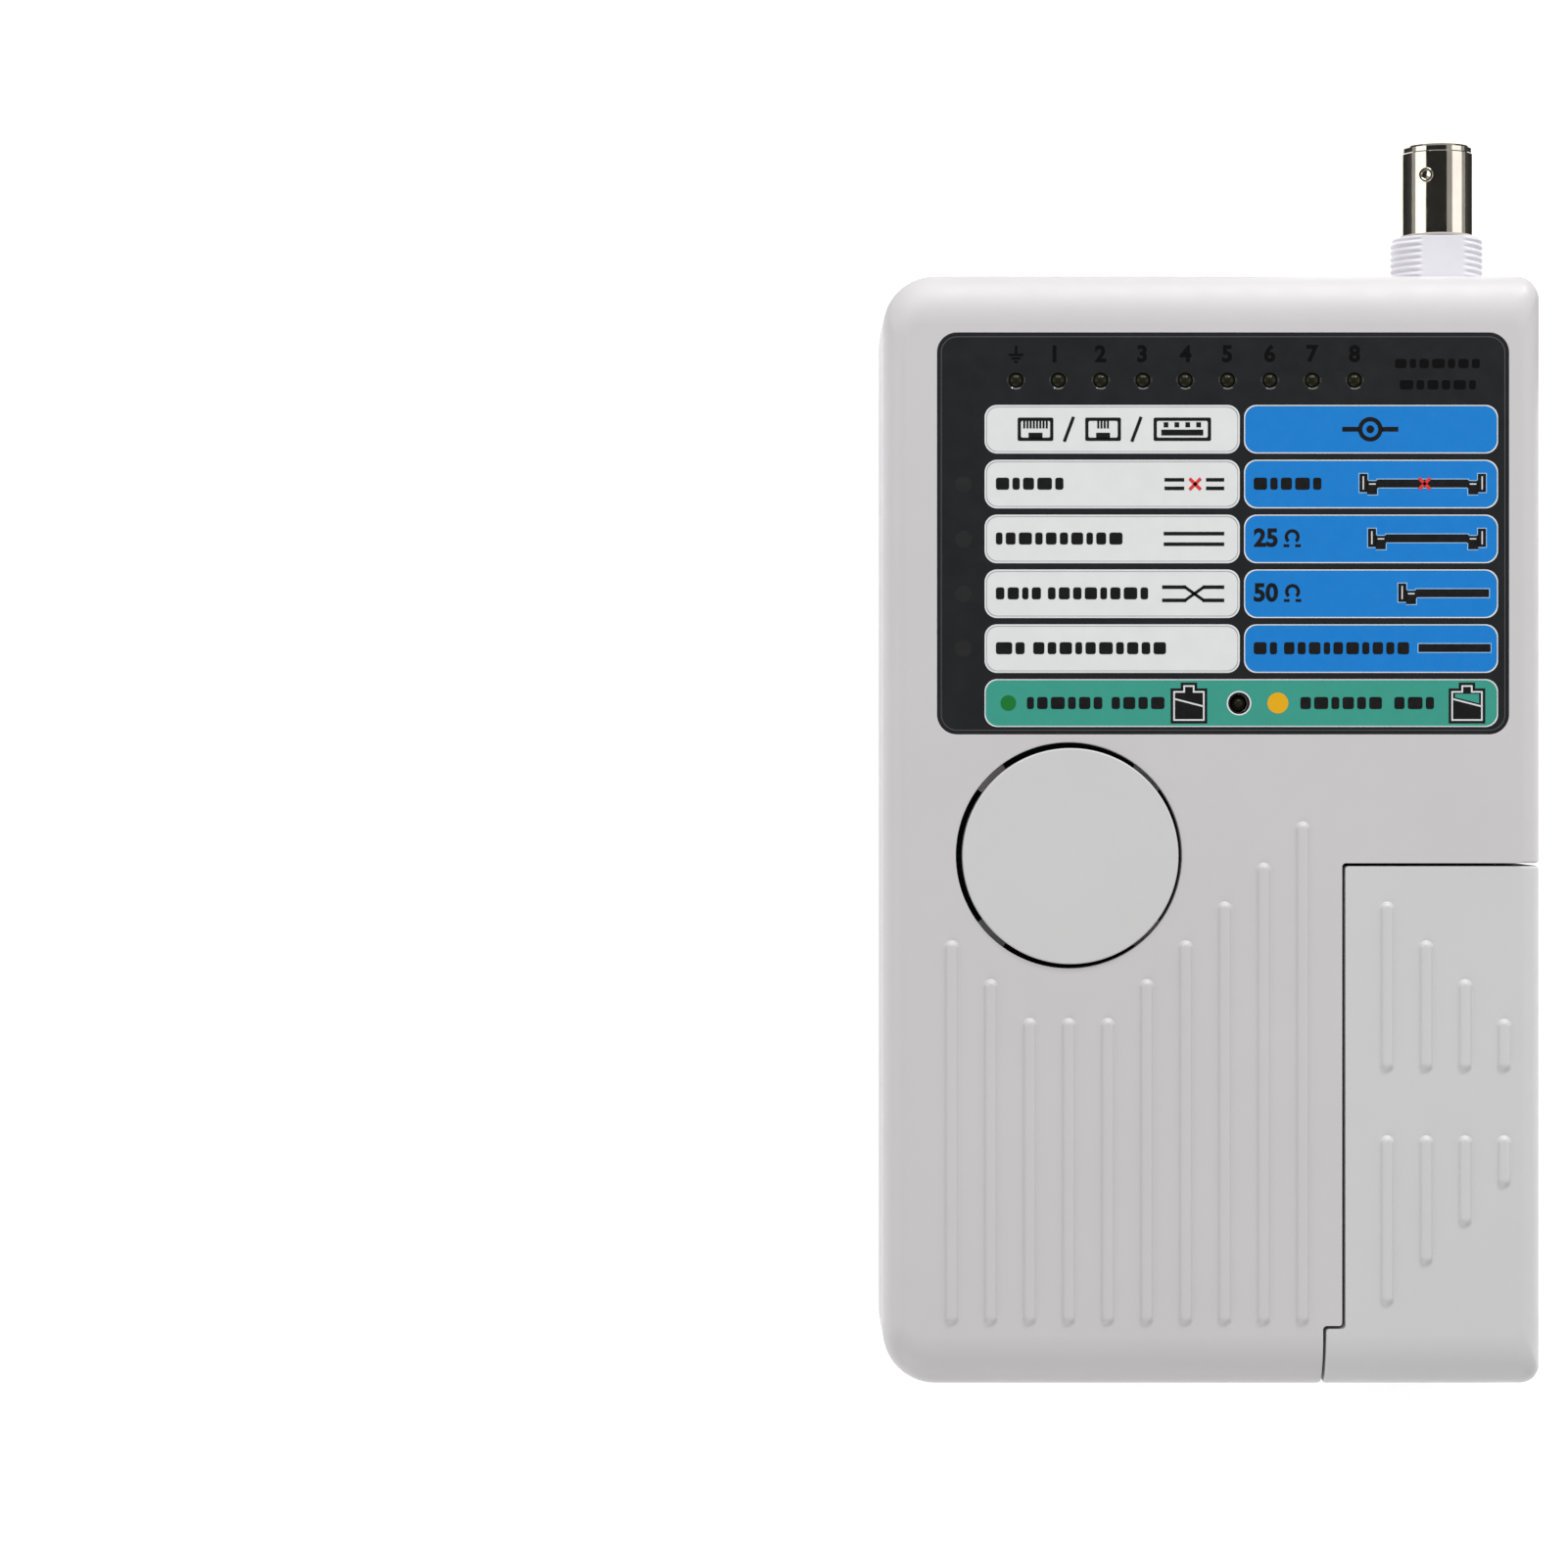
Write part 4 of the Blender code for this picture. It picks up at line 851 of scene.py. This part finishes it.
def lamp_shape(centre, radius, seat, top):
    """A lamp with a wide rim at its seat and a domed end."""
    rim = LAMP_RADIUS + LAMP_RIM
    profile = [(rim, seat), (rim, seat + LAMP_RIM_HEIGHT), (radius, seat + LAMP_RIM_HEIGHT + 0.05)]
    for turn in quarter(10):
        profile.append((max(radius * cos(turn), LAMP_TIP), top - radius + radius * sin(turn)))
    return turned(profile, centre, segments=40)


def make_lamps():
    for name in [*PIN_LAMPS, *ROW_LAMPS, BATTERY_LAMP]:
        low, high = node_box(name)
        radius = BATTERY_LAMP_RADIUS if name == BATTERY_LAMP else LAMP_RADIUS
        lamp = show(f"{name}_lens", lamp_shape(node_xy(name), radius, low.z, high.z))
        finish(lamp, LENS, name, angle=50)


# Label: a film with printed cells, marks and pictograms, and a painted highlight along its edge, each
# layer a thin sheet

CELL_LEFT = (-29.45, 3.4)
CELL_RIGHT = (3.95, 36.65)
CELL_TOP = 54.7
CELL_PITCH = 7.06
CELL_HEIGHT = 6.25
CELL_CORNER = 1.6
CELL_ROWS = 5
STRIP = (CELL_LEFT[0], CELL_RIGHT[1])
STRIP_Y = (13.25, 19.4)
FILM_TOP = LABEL_HIGH.z
INK = 0.012  # thickness of one printed layer, thicker than real ink
KEYLINE = 0.13
SOFT_INSET, SOFT_LINE = 0.22, 0.08  # grey line inside the white cells
HIGHLIGHT_INSET, HIGHLIGHT_LINE = 0.32, 0.1  # painted highlight: a grey line inside the film's edge, standing in for the light that the edge catches
ROW_WINDOW = 1.1
BOLD = 0.42  # stroke of the pictograms
WIRE = 0.46  # stroke of the wire pictograms
CROSS = 0.72  # half size of the red crosses
SIGN_HEIGHT = 3.0  # of the heading's pictograms
NUMERAL_HEIGHT = 2.3
PIN_NUMERAL_HEIGHT = 2.1
NUMERAL_SCALE = 1.37  # type size for a numeral of height 1
NUMERAL_WEIGHT = 0.05  # how far the strokes are thickened, as a share of the height
DASH_HEIGHT = 1.55
PIN_DASH_HEIGHT = 1.2
DASH_GAP = 0.42
DASH_ROUNDING = 0.3
DASH_SHARES = (1.0, 1.45, 0.8, 1.2, 1.6, 0.9, 1.3)  # widths of dashes in a row, in turn
DASH_MEAN = 1.28  # how wide a dash is on average


SHEETS = []


class Print:
    """A sheet of flat shapes in one ink."""

    def __init__(self, name, layer, ink):
        self.name = name
        self.ink = ink
        self.low = FILM_TOP - 0.02
        self.high = FILM_TOP + INK * layer
        self.shapes = []
        self.holes = []
        SHEETS.append(self)

    def area(self, points):
        self.shapes.append(prism(points, self.low, self.high))

    def bar(self, x, y):
        self.area(four_corners(x, y))

    def rounded(self, x, y, radius):
        self.area(outline(rectangle(x, y, radius)))

    def line(self, ring_of, inner, outer):
        self.shapes.append(band(ring_of, inner, outer, self.low, self.high))

    def frame(self, x, y, radius, width):
        """A line that runs just inside a rounded rectangle."""
        self.line(evenly(rectangle(x, y, radius)), width, 0)

    def ring(self, centre, radius, width):
        self.line(lambda size: circle(centre, size), radius - width / 2, radius + width / 2)

    def stroke(self, start, end, width):
        start, end = Vector(start), Vector(end)
        across = (end - start).normalized().orthogonal() * width / 2
        self.area((start - across, start + across, end + across, end - across))

    def disc(self, centre, radius):
        self.area(circle(centre, radius, 40))

    def make(self):
        sheet = show(f"label_{self.name}", *self.shapes)
        if self.holes:
            cut(sheet, *self.holes)
        finish(sheet, self.ink, slot=LABEL_FILM.slot, angle=30)


WHITE_CELLS = Print("white_cells", 1, WHITE_INK)
BLUE_CELLS = Print("blue_cells", 1, BLUE_INK)
STRIP_CELL = Print("green_strip", 1, GREEN_INK)
BLACK = Print("black_marks", 3, BLACK_INK)
RED = Print("red_marks", 4, RED_INK)
WHITE = Print("white_marks", 4, WHITE_INK)
GREEN = Print("green_marks", 4, GREEN_INK)
KEYLINES = Print("keylines", 2, WHITE_INK)
OUTER = Print("cable_outlines", 2, PALE_BLUE_INK)
SOFT_LINES = Print("soft_lines", 2, GREY_INK)
# Painted highlight: a grey line inside the film's edge, in place of the light that the edge catches
EDGE_HIGHLIGHT = Print("painted_edge_highlight", 2, EDGE_HIGHLIGHT_INK)
ORANGE = Print("orange_dot", 3, ORANGE_INK)
DARK_GREEN = Print("green_dot", 3, DARK_GREEN_INK)
FAINT = Print("faint_marks", 1, FAINT_INK)
WINDOWS = Print("lamp_windows", 1, WINDOW_INK)


def dash_row(x, y, start, sheet=BLACK, height=DASH_HEIGHT):
    """A row of plain dashes of uneven width, centred on y, that fills the span x."""
    length = x[1] - x[0]
    count = max(round((length + DASH_GAP) / (DASH_MEAN + DASH_GAP)), 1)
    shares = [DASH_SHARES[(start + i) % len(DASH_SHARES)] for i in range(count)]
    scale = (length - DASH_GAP * (count - 1)) / sum(shares)
    left = x[0]
    for share in shares:
        right = left + share * scale
        sheet.rounded((left, right), about(y, height / 2), DASH_ROUNDING)
        left = right + DASH_GAP


def numeral(sheet, text, x, y, height):
    """Numerals from the built-in face, thickened, with their lower left corner at x, y."""
    data = bpy.data.curves.new("numeral", "FONT")
    data.body = text
    data.size = height * NUMERAL_SCALE
    data.offset = NUMERAL_WEIGHT * height
    data.extrude = 0.5
    data.resolution_u = 4
    drawn = link(bpy.data.objects.new("numeral", data))
    mesh = welded(evaluated_mesh(drawn))
    left = min(v.co.x for v in mesh.vertices)
    low = min(v.co.y for v in mesh.vertices)
    points = []
    for v in mesh.vertices:
        level = sheet.high if v.co.z > 0 else sheet.low
        points.append((x + v.co.x - left, y + v.co.y - low, level))
    sheet.shapes.append((points, [tuple(p.vertices) for p in mesh.polygons]))
    width = max(v.co.x for v in mesh.vertices) - left
    bpy.data.objects.remove(drawn)
    bpy.data.meshes.remove(mesh)
    return width


def row_y(row):
    """Lowest and highest Y of a row of cells, counted from the heading."""
    top = CELL_TOP - CELL_PITCH * row
    return top - CELL_HEIGHT, top


def row_middle(row):
    return sum(row_y(row)) / 2


def mirrored(middle, near, far):
    """The same span on each side of a middle."""
    return [tuple(sorted((middle + side * near, middle + side * far))) for side in (-1, 1)]


def ohm(x, y):
    height = NUMERAL_HEIGHT
    radius = height * 0.42
    centre = (x + radius, y + height - radius)
    turns = [radians(-50 + (230 + 50) * i / 24) for i in range(25)]
    middle = radius - BOLD / 2
    BLACK.area(sector(centre, *about(middle, BOLD / 2), turns))
    for foot in mirrored(centre[0], radius * 0.4, radius * 1.15):
        BLACK.bar(foot, (y, y + BOLD * 0.85))


def cross(x, y):
    RED.stroke((x - CROSS, y - CROSS), (x + CROSS, y + CROSS), BOLD)
    RED.stroke((x - CROSS, y + CROSS), (x + CROSS, y - CROSS), BOLD)


def terminator(x, y, way):
    """A coaxial end piece: a tall cap, then an adapter that hangs below the cable."""
    line = CABLE_LINE
    for sheet, start, end, low, high in (
        (OUTER, -line, 1.05 + line, -1.1 - line, 1.28 + line),
        (OUTER, 1.0, 2.3 + line, -1.4 - line, 0.35 + line),
        (BLACK, 0, 1.05, -1.1, 1.28), (BLACK, 1.0, 2.3, -1.4, 0.35),
        (WHITE, 0.42, 0.58, -0.75, 0.95), (WHITE, 1.25, 2.1, -0.12, 0.04),
    ):
        sheet.bar(tuple(sorted((x + way * start, x + way * end))), (y + low, y + high))


def cable(x, y, *ends):
    """A cable with a light line round it, and end pieces: 1 at its left, -1 at its right."""
    low, high = y - 0.5, y + 0.55
    OUTER.bar(grown(*x, CABLE_LINE), grown(low, high, CABLE_LINE))
    BLACK.bar(x, (low, high))
    for way in ends:
        terminator(x[0] - 2.3 if way > 0 else x[1] + 2.3, y, way)


# Where a row's words start and end, and where its first word ends and its second starts
LEFT_WORDS = ((-28.0, -19.3), (-28.0, -11.7), (-28.0, -8.4), (-28.0, -6.1))
WORD_GAPS = {3: (-22.2, -21.3), 4: (-24.3, -23.2)}
WORDS_X = 5.2
WIRES_END = 1.4
MARK_LIFT = 0.05  # how far most marks stand above a row's middle
CABLE_LINE = 0.1


def wire_pair(middle, offset, *spans):
    for level in (middle + offset, middle - offset):
        for x in spans:
            BLACK.bar(x, about(level, WIRE / 2))


def draw_left_column():
    for row, (left, right) in enumerate(LEFT_WORDS, start=1):
        y = row_middle(row) + MARK_LIFT
        if row in WORD_GAPS:
            end, start = WORD_GAPS[row]
            dash_row((left, end), y, row)
            dash_row((start, right), y, row + 2)
        else:
            dash_row((left, right), y, row)
    wire_pair(row_middle(1), 0.55, (-6.3, -3.75), (-0.95, WIRES_END))
    wire_pair(row_middle(2), 0.68, (-6.4, WIRES_END))
    cross(-2.35, row_middle(1))
    middle, offset = row_middle(3), 0.85
    for way in (offset, -offset):
        y = about(middle + way, WIRE / 2)
        BLACK.bar((-6.6, -3.5), y)
        BLACK.bar((-1.4, WIRES_END), y)
        BLACK.stroke((-3.65, middle + way), (-1.25, middle - way), 0.38)


def draw_right_column():
    levels = [row_middle(row) + MARK_LIFT for row in range(CELL_ROWS)]
    dash_row((WORDS_X, 13.9), levels[1], 1)
    cable((21.1, 32.8), levels[1], 1, -1)
    cross(27.2, levels[1])
    for row, value in ((2, "25"), (3, "50")):
        low = row_middle(row) - NUMERAL_HEIGHT / 2 + 0.1
        width = numeral(BLACK, value, WORDS_X, low, NUMERAL_HEIGHT)
        ohm(WORDS_X + width + 0.9, low)
    cable((22.2, 32.8), levels[2], 1, -1)
    cable((26.1, 35.5), levels[3], 1)
    dash_row((WORDS_X, 8.2), levels[4], 4)
    dash_row((9.1, 25.2), levels[4], 6)
    cable((26.4, 35.7), levels[4])


def modular_jack(x, y, contacts):
    width = 4.6
    middle = x + width / 2
    BLACK.frame((x, x + width), (y, y + SIGN_HEIGHT), 0.2, BOLD)
    BLACK.bar(about(middle, 0.9), (y + 0.3, y + 1.05))
    pitch = (width - 1.7) / 7
    for i in range(contacts):
        contact = middle + pitch * (i - (contacts - 1) / 2)
        BLACK.bar(about(contact, 0.13), (y + 1.6, y + 2.7))


def draw_headings():
    y = row_middle(0) - 1.5
    for x, contacts in ((-25.2, 8), (-16.5, 4)):
        modular_jack(x, y, contacts)
        BLACK.stroke((x + 6, y - 0.1), (x + 7.2, y + 3.1), BOLD)
    BLACK.frame((-7.7, -0.3), (y, y + SIGN_HEIGHT), 0.2, BOLD)
    BLACK.bar((-6.7, -1.3), (y + 0.7, y + 1.45))
    for i in range(4):
        x = -6.1 + 1.4 * i
        BLACK.bar(about(x, 0.3), (y + 1.75, y + 2.4))
    centre = (20.2, row_middle(0))
    BLACK.ring(centre, 1.3, 0.55)
    BLACK.disc(centre, 0.5)
    for reach in mirrored(centre[0], 1.5, 3.6):
        BLACK.bar(reach, about(centre[1], 0.3))


def battery_outline(x, low, inset):
    """A battery's silhouette: a square body with a cap."""
    high, cap = low + 4.5, 0.75
    left, right, middle = x + inset, x + 4.7 - inset, x + 2.35
    half = 1.05 - inset
    return (
        (left, low + inset), (right, low + inset), (right, high - inset), (middle + half, high - inset),
        (middle + half, high + cap - inset), (middle - half, high + cap - inset),
        (middle - half, high - inset), (left, high - inset),
    )


def battery_picture(x, empty):
    """A battery with a slanting level, and its upper part clear when it is low."""
    low = STRIP_Y[0] + 0.45
    BLACK.area(battery_outline(x, low, 0))
    WHITE.line(lambda inset: battery_outline(x, low, inset), 0.54, 0.34)
    left, right = (x + 0.5, low + 3.15), (x + 4.2, low + 2.2)
    WHITE.stroke(left, right, 0.2)
    if empty:
        start, end, top = left[0] + 0.3, right[0] - 0.3, low + 3.8
        GREEN.area(((start, left[1] + 0.22), (end, right[1] + 0.38), (end, top), (start, top)))


def draw_strip():
    y = sum(STRIP_Y) / 2
    DARK_GREEN.disc((-26.4, y), 1.0)
    dash_row((-24.0, -14.3), y, 2)
    dash_row((-13.1, -6.3), y, 5)
    battery_picture(-5.5, False)
    BLACK.ring(node_xy(BATTERY_LAMP), BATTERY_LAMP_HOLE + 0.12, 0.24)
    WHITE.ring(node_xy(BATTERY_LAMP), BATTERY_LAMP_HOLE + 0.34, 0.18)
    ORANGE.disc((8.3, y), 1.35)
    dash_row((11.2, 21.7), y, 3)
    dash_row((23.3, 28.4), y, 0)
    battery_picture(30.3, True)


def draw_pin_names():
    y = 60.2
    x = node_middle("pin_led_shield").x
    for half, level in ((0.95, y + 0.95), (0.6, y + 0.5), (0.25, y + 0.05)):
        FAINT.bar(about(x, half), about(level, 0.15))
    FAINT.bar(about(x, 0.16), (y + 1.1, y + 2.1))
    for i in range(1, 9):
        numeral(FAINT, str(i), node_middle(f"pin_led_{i}").x - 0.75, y, PIN_NUMERAL_HEIGHT)
    dash_row((23.4, 34.3), 60.04, 1, FAINT, PIN_DASH_HEIGHT)
    dash_row((24.0, 33.8), 57.3, 4, FAINT, PIN_DASH_HEIGHT)


def make_label():
    levels = ((0, LABEL_LOW.z), (0, FILM_TOP - PANEL_BREAK), (PANEL_BREAK, FILM_TOP))
    rings = [at_level(label_ring(inset - PANEL_GROWTH), z) for inset, z in levels]
    panel = show("label_panel", loft(rings))
    holes = [(name, LAMP_WINDOW) for name in PIN_LAMPS] + [(BATTERY_LAMP, BATTERY_LAMP_HOLE)]
    low, high = LABEL_LOW.z - PAST, FILM_TOP + PAST
    cut(panel, *[rod(node_xy(name), radius, low, high, segments=64) for name, radius in holes])
    finish(panel, LABEL_FILM, "face_label")


def make_bezels():
    """Glossy bevels that line the label's round windows over the pin lamps."""
    inner, outer = LAMP_WINDOW - BEVEL_REACH, LAMP_WINDOW - 0.01
    low = FILM_TOP - BEVEL_DEPTH
    profile = ((inner, low), (outer, low), (outer, FILM_TOP), (inner, FILM_TOP - BEVEL_DROP))
    rings = [turned(profile, node_xy(name), segments=48, bored=True) for name in PIN_LAMPS]
    bevels = show("label_lamp_bevels", *rings)
    finish(bevels, BEVEL_GLOSS, slot=LABEL_FILM.slot, angle=40)


def draw_cells():
    for row in range(CELL_ROWS):
        y = row_y(row)
        WHITE_CELLS.rounded(CELL_LEFT, y, CELL_CORNER)
        inner = grown(*CELL_LEFT, -SOFT_INSET), grown(*y, -SOFT_INSET)
        SOFT_LINES.frame(*inner, CELL_CORNER - SOFT_INSET, SOFT_LINE)
        BLUE_CELLS.rounded(CELL_RIGHT, y, CELL_CORNER)
        KEYLINES.frame(CELL_RIGHT, y, CELL_CORNER, KEYLINE)
    STRIP_CELL.rounded(STRIP, STRIP_Y, CELL_CORNER)
    KEYLINES.frame(STRIP, STRIP_Y, CELL_CORNER, KEYLINE)
    # Painted highlight: a grey line just inside the film's edge
    x, y = [grown(LABEL_LOW[i], LABEL_HIGH[i], -HIGHLIGHT_INSET) for i in (0, 1)]
    EDGE_HIGHLIGHT.frame(x, y, LABEL_CORNER - HIGHLIGHT_INSET, HIGHLIGHT_LINE)


def make_print():
    draw_cells()
    draw_headings()
    draw_left_column()
    draw_right_column()
    draw_strip()
    draw_pin_names()
    for name in ROW_LAMPS:
        WINDOWS.disc(node_xy(name), ROW_WINDOW)
    STRIP_CELL.holes.append(rod(node_xy(BATTERY_LAMP), BATTERY_LAMP_HOLE, *about(FILM_TOP, PAST)))
    for sheet in SHEETS:
        sheet.make()


# Coaxial connector

def flattened(shape):
    """Flats on the front and back of the threaded base, outside the casing."""
    points, faces = shape
    made = []
    for x, y, z in points:
        if y > END_Y - 0.2:
            z = min(max(z, BNC.z - BASE_FLAT), BNC.z + BASE_FLAT)
        made.append((x, y, z))
    return made, faces


def threaded_base():
    """A bored bush whose helical thread shows outside the casing."""
    turns, rows = full_turn(96), 90
    start, end = END_Y - 1.9, BASE_END
    pitch = (BASE_END - END_Y) / THREADS
    inner_end, inner_face = node_box("bnc_base")[0].y, END_Y - WALL - SEAM
    profile = ((inner_end, BASE_BORE), (inner_end, BASE_SHOULDER), (inner_face, BASE_SHOULDER))
    rings = [at_level(on_circle(BNC_AXIS, radius, turns), y, "Y") for y, radius in profile]
    for row in range(rows + 1):
        y = start + (end - start) * row / rows
        fade = min(1.0, (end - y) / THREAD_FADE)
        ring = []
        for t in turns:
            phase = (y - start) / pitch - t / tau
            crest = 0.5 + 0.5 * cos(tau * phase)
            depth = THREAD_DEPTH * (1 - crest**THREAD_SHAPE)
            ring += on_circle(BNC_AXIS, BASE_RADIUS - depth * fade - THREAD_DEPTH * (1 - fade), (t,))
        rings.append(at_level(ring, y, "Y"))
    rings.append(at_level(on_circle(BNC_AXIS, BASE_BORE, turns), end, "Y"))
    return flattened(loft(rings, joined=True))


def lug(way):
    """A bayonet lug: a short stud with a dished top, square to the barrel."""
    tilt = radians(LUG_TURN)
    across = Vector((cos(tilt), 0, -sin(tilt)))
    outward = Vector((sin(tilt), 0, cos(tilt))) * way
    along = Vector((0, 1, 0))
    centre = Vector((BNC.x, LUG_Y, BNC.z))
    rings = []
    for radius, height in LUG_PROFILE:
        middle = centre + outward * height
        sideways, lengthways = across * radius, along * radius
        rings.append([middle + sideways * cos(t) + lengthways * sin(t) for t in full_turn(32)])
    return loft(rings)


def barrel_profile():
    """Radius and level, out along the outside and back down the bore."""
    shoulder = BASE_END + 0.3
    radius, end, floor = BARREL_RADIUS, BARREL_END, BARREL_END - BARREL_DEPTH
    return (
        (BARREL_TAIL_BORE, BARREL_START), (BARREL_TAIL, BARREL_START), (BARREL_TAIL, shoulder - 0.15),
        (radius - 0.25, shoulder - 0.15), (radius, shoulder + 0.1), (radius, end - 1.1),
        (radius - 0.12, end - 0.95), (radius - 0.12, end - 0.35), (radius - 0.3, end - 0.08),
        (radius - 0.45, end), (4.2, end), (BARREL_BORE, end - 0.15), (BARREL_BORE, floor),
        (BARREL_TAIL_BORE, floor),
    )


def make_connector():
    base = show("bnc_threaded_base", threaded_base())
    finish(base, WHITE_PLASTIC, "bnc_base", angle=55)
    barrel = show("bnc_nickel_barrel", turned(barrel_profile(), BNC_AXIS, "Y", 128, bored=True))
    add(barrel, lug(1), lug(-1))
    finish(barrel, NICKEL, "bnc_barrel", angle=28)
    start, end = [corner.y for corner in node_box("bnc_dielectric")]
    profile = ((1.4, start), (2.4, start), (2.4, end - 0.2), (2.2, end), (1.5, end), (1.4, end - 0.1))
    insulator = show("bnc_insulator", turned(profile, BNC_AXIS, "Y", bored=True))
    finish(insulator, WHITE_PLASTIC, "bnc_dielectric")
    start, end = [corner.y for corner in node_box("bnc_contact")]
    outside = (0.9, start), (1.05, start + 0.2), (1.05, end - 0.4), (0.85, end)
    contact = show(
        "bnc_centre_contact", turned([*outside, (0.55, end), (0.5, end - 3)], BNC_AXIS, "Y", 40),
    )
    finish(contact, GOLD, "bnc_contact")


# Screws, and CAD nodes that stay

def screw_shape(centre):
    head, tip = SCREW_LOW.z, SCREW_HIGH.z
    shank = (0.3, tip), (SCREW_RADIUS, tip - 1.2), (SCREW_RADIUS, SCREW_NECK), (HEAD_RADIUS, SCREW_NECK)
    dome = soft_edge(HEAD_RADIUS, head, *SCREW_DOME, 6)
    return turned([*shank, *dome, (0.2, head)], centre, segments=48)


def slot_shape(centre, degrees):
    """A cutter for one arm of the cross in a screw's head."""
    angle = radians(degrees)
    along = Vector((cos(angle), sin(angle)))
    across = Vector((-along.y, along.x))
    signs = four_corners((-1, 1), (-1, 1))
    rings = []
    for length, half, level in SCREW_SLOT:
        spots = [Vector(centre) + along * length * a + across * half * b for a, b in signs]
        rings.append(at_level(spots, SCREW_LOW.z + level))
    return loft(rings)


def make_screws():
    for names, body in ((MAIN_SCREWS, "main_unit"), (REMOTE_SCREWS, "remote")):
        for i, name in enumerate(names):
            centre = node_xy(name)
            screw = show(f"{name}_pan_head", screw_shape(centre))
            for arm in (0, 90):
                cut(screw, slot_shape(centre, SCREW_TURN[0] + SCREW_TURN[1] * i + arm))
            finish(screw, SCREW_STEEL, name, body=body)


# Material, width of the broken edges, and the CAD nodes that get them
DRESSED_NODES = (
    (SOCKET_BLACK, 0.18, ("rj45_housing", "rj11_housing", "remote_rj45_housing", "battery_snap")),
    (GOLD, 0.05, ("rj45_contacts", "rj11_contacts", "remote_rj45_contacts")),
    (TIN, 0.12, ("usb_a_shell", "remote_usb_b_shell")),
    (WHITE_PLASTIC, 0.15, ("usb_a_tongue", "remote_usb_b_tongue")),
    (BOARD, 0.1, ("main_pcb", "remote_pcb")),
    (CHIP, 0.15, ("controller_ic", "load_resistors", "switch_plunger")),
    (TIN, 0.15, ("switch_body",)),
    (TIN, 0.1, ("filter_capacitor",)),
    (JACKET, 0.3, ("battery_9v",)),
    (FOAM, 0.2, ("battery_foam",)),
    (RED_WIRE, 0, ("battery_lead_red",)),
    (BLACK_WIRE, 0, ("battery_lead_black",)),
    (MAIN_ABS, 0.2, ("battery_door",)),
)


def dress_nodes():
    for material, bevel, names in DRESSED_NODES:
        for name in names:
            dress(name, material, bevel)


# Stage

FLOOR_HALF = 3000
FLOOR_GLOW = 0.42
WORLD_STRENGTH = 0.42
# Dark cards round the connector: X, Y and Z spans
FLAGS = {
    "flag_overhead": ((-520, 300), (-250, 520), (640, 644)),
    "flag_right": ((47, 900), (60, 900), (0.3, 1.3)),
    "flag_left": ((-900, 14), (76, 900), (0.3, 1.3)),
}
# Area lights: place, target and size in metres, and watts
LIGHTS = {
    "top_softbox": ((0.1, 1.3, 0.85), (0, 0, 0), (1.5, 0.8), 21.6),
    "left_softbox": ((-1.2, 0.16, 0.7), (0, 0, 0), (0.75, 0.88), 2.8),
    "right_softbox": ((1.2, 0.1, 0.7), (0, 0, 0), (0.75, 0.86), 2.2),
    "low_fill": ((-0.3, -1.2, 0.5), (0, 0, 0), (1.2, 0.6), 5.5),
    "kicker": ((0.34, 0.78, 0.36), (0, 0.05, 0.02), (0.06, 0.06), 1.6),
}
CAMERA_PLACE = (-0.05528, 0.0059, 0.5)
CAMERA_LENS = 84.8


def make_flag(name, x, y, z):
    """A dark card that only reflections show."""
    card = show(name, block(x, y, z))
    card.data.materials.append(Surface(name, (20, 20, 20), 0.9).material)
    for ray in ("camera", "diffuse", "shadow", "transmission"):
        setattr(card, f"visible_{ray}", False)


def make_stage():
    surface = Surface("floor", (250, 250, 250), 0.6)
    surface.mottle(surface.noise(60), 0.004)
    surface.fill(surface.shader, Emission_Color=(1, 1, 1, 1), Emission_Strength=FLOOR_GLOW)
    side = (-FLOOR_HALF, FLOOR_HALF)
    floor = show("floor", block(side, side, (-4, -0.02)))
    floor.data.materials.append(surface.material)
    for name, spans in FLAGS.items():
        make_flag(name, *spans)
    world = bpy.data.worlds.new("studio")
    world.use_nodes = True
    background = world.node_tree.nodes["Background"]
    background.inputs["Color"].default_value = (1, 1, 1, 1)
    background.inputs["Strength"].default_value = WORLD_STRENGTH
    bpy.context.scene.world = world
    bpy.context.scene.view_settings.view_transform = "Standard"


def make_light(name, place, target, size, watts):
    data = bpy.data.lights.new(name, "AREA")
    data.shape = "RECTANGLE"
    data.size, data.size_y = size
    data.energy = watts
    light = link(bpy.data.objects.new(name, data))
    light.location = place
    light.rotation_euler = (Vector(target) - Vector(place)).to_track_quat("-Z", "Y").to_euler()


def make_camera():
    data = bpy.data.cameras.new("camera")
    data.lens = CAMERA_LENS
    data.sensor_width = 36
    data.clip_start = 0.01
    camera = link(bpy.data.objects.new("camera", data))
    camera.location = CAMERA_PLACE
    bpy.context.scene.camera = camera


make_camera()
make_stage()
for light_name, light in LIGHTS.items():
    make_light(light_name, *light)
for make in (
    make_main_front, make_main_rear, make_remote_front, make_remote_rear, make_button, make_lamps,
    make_label, make_bezels, make_print, make_connector, make_screws, dress_nodes,
):
    make()
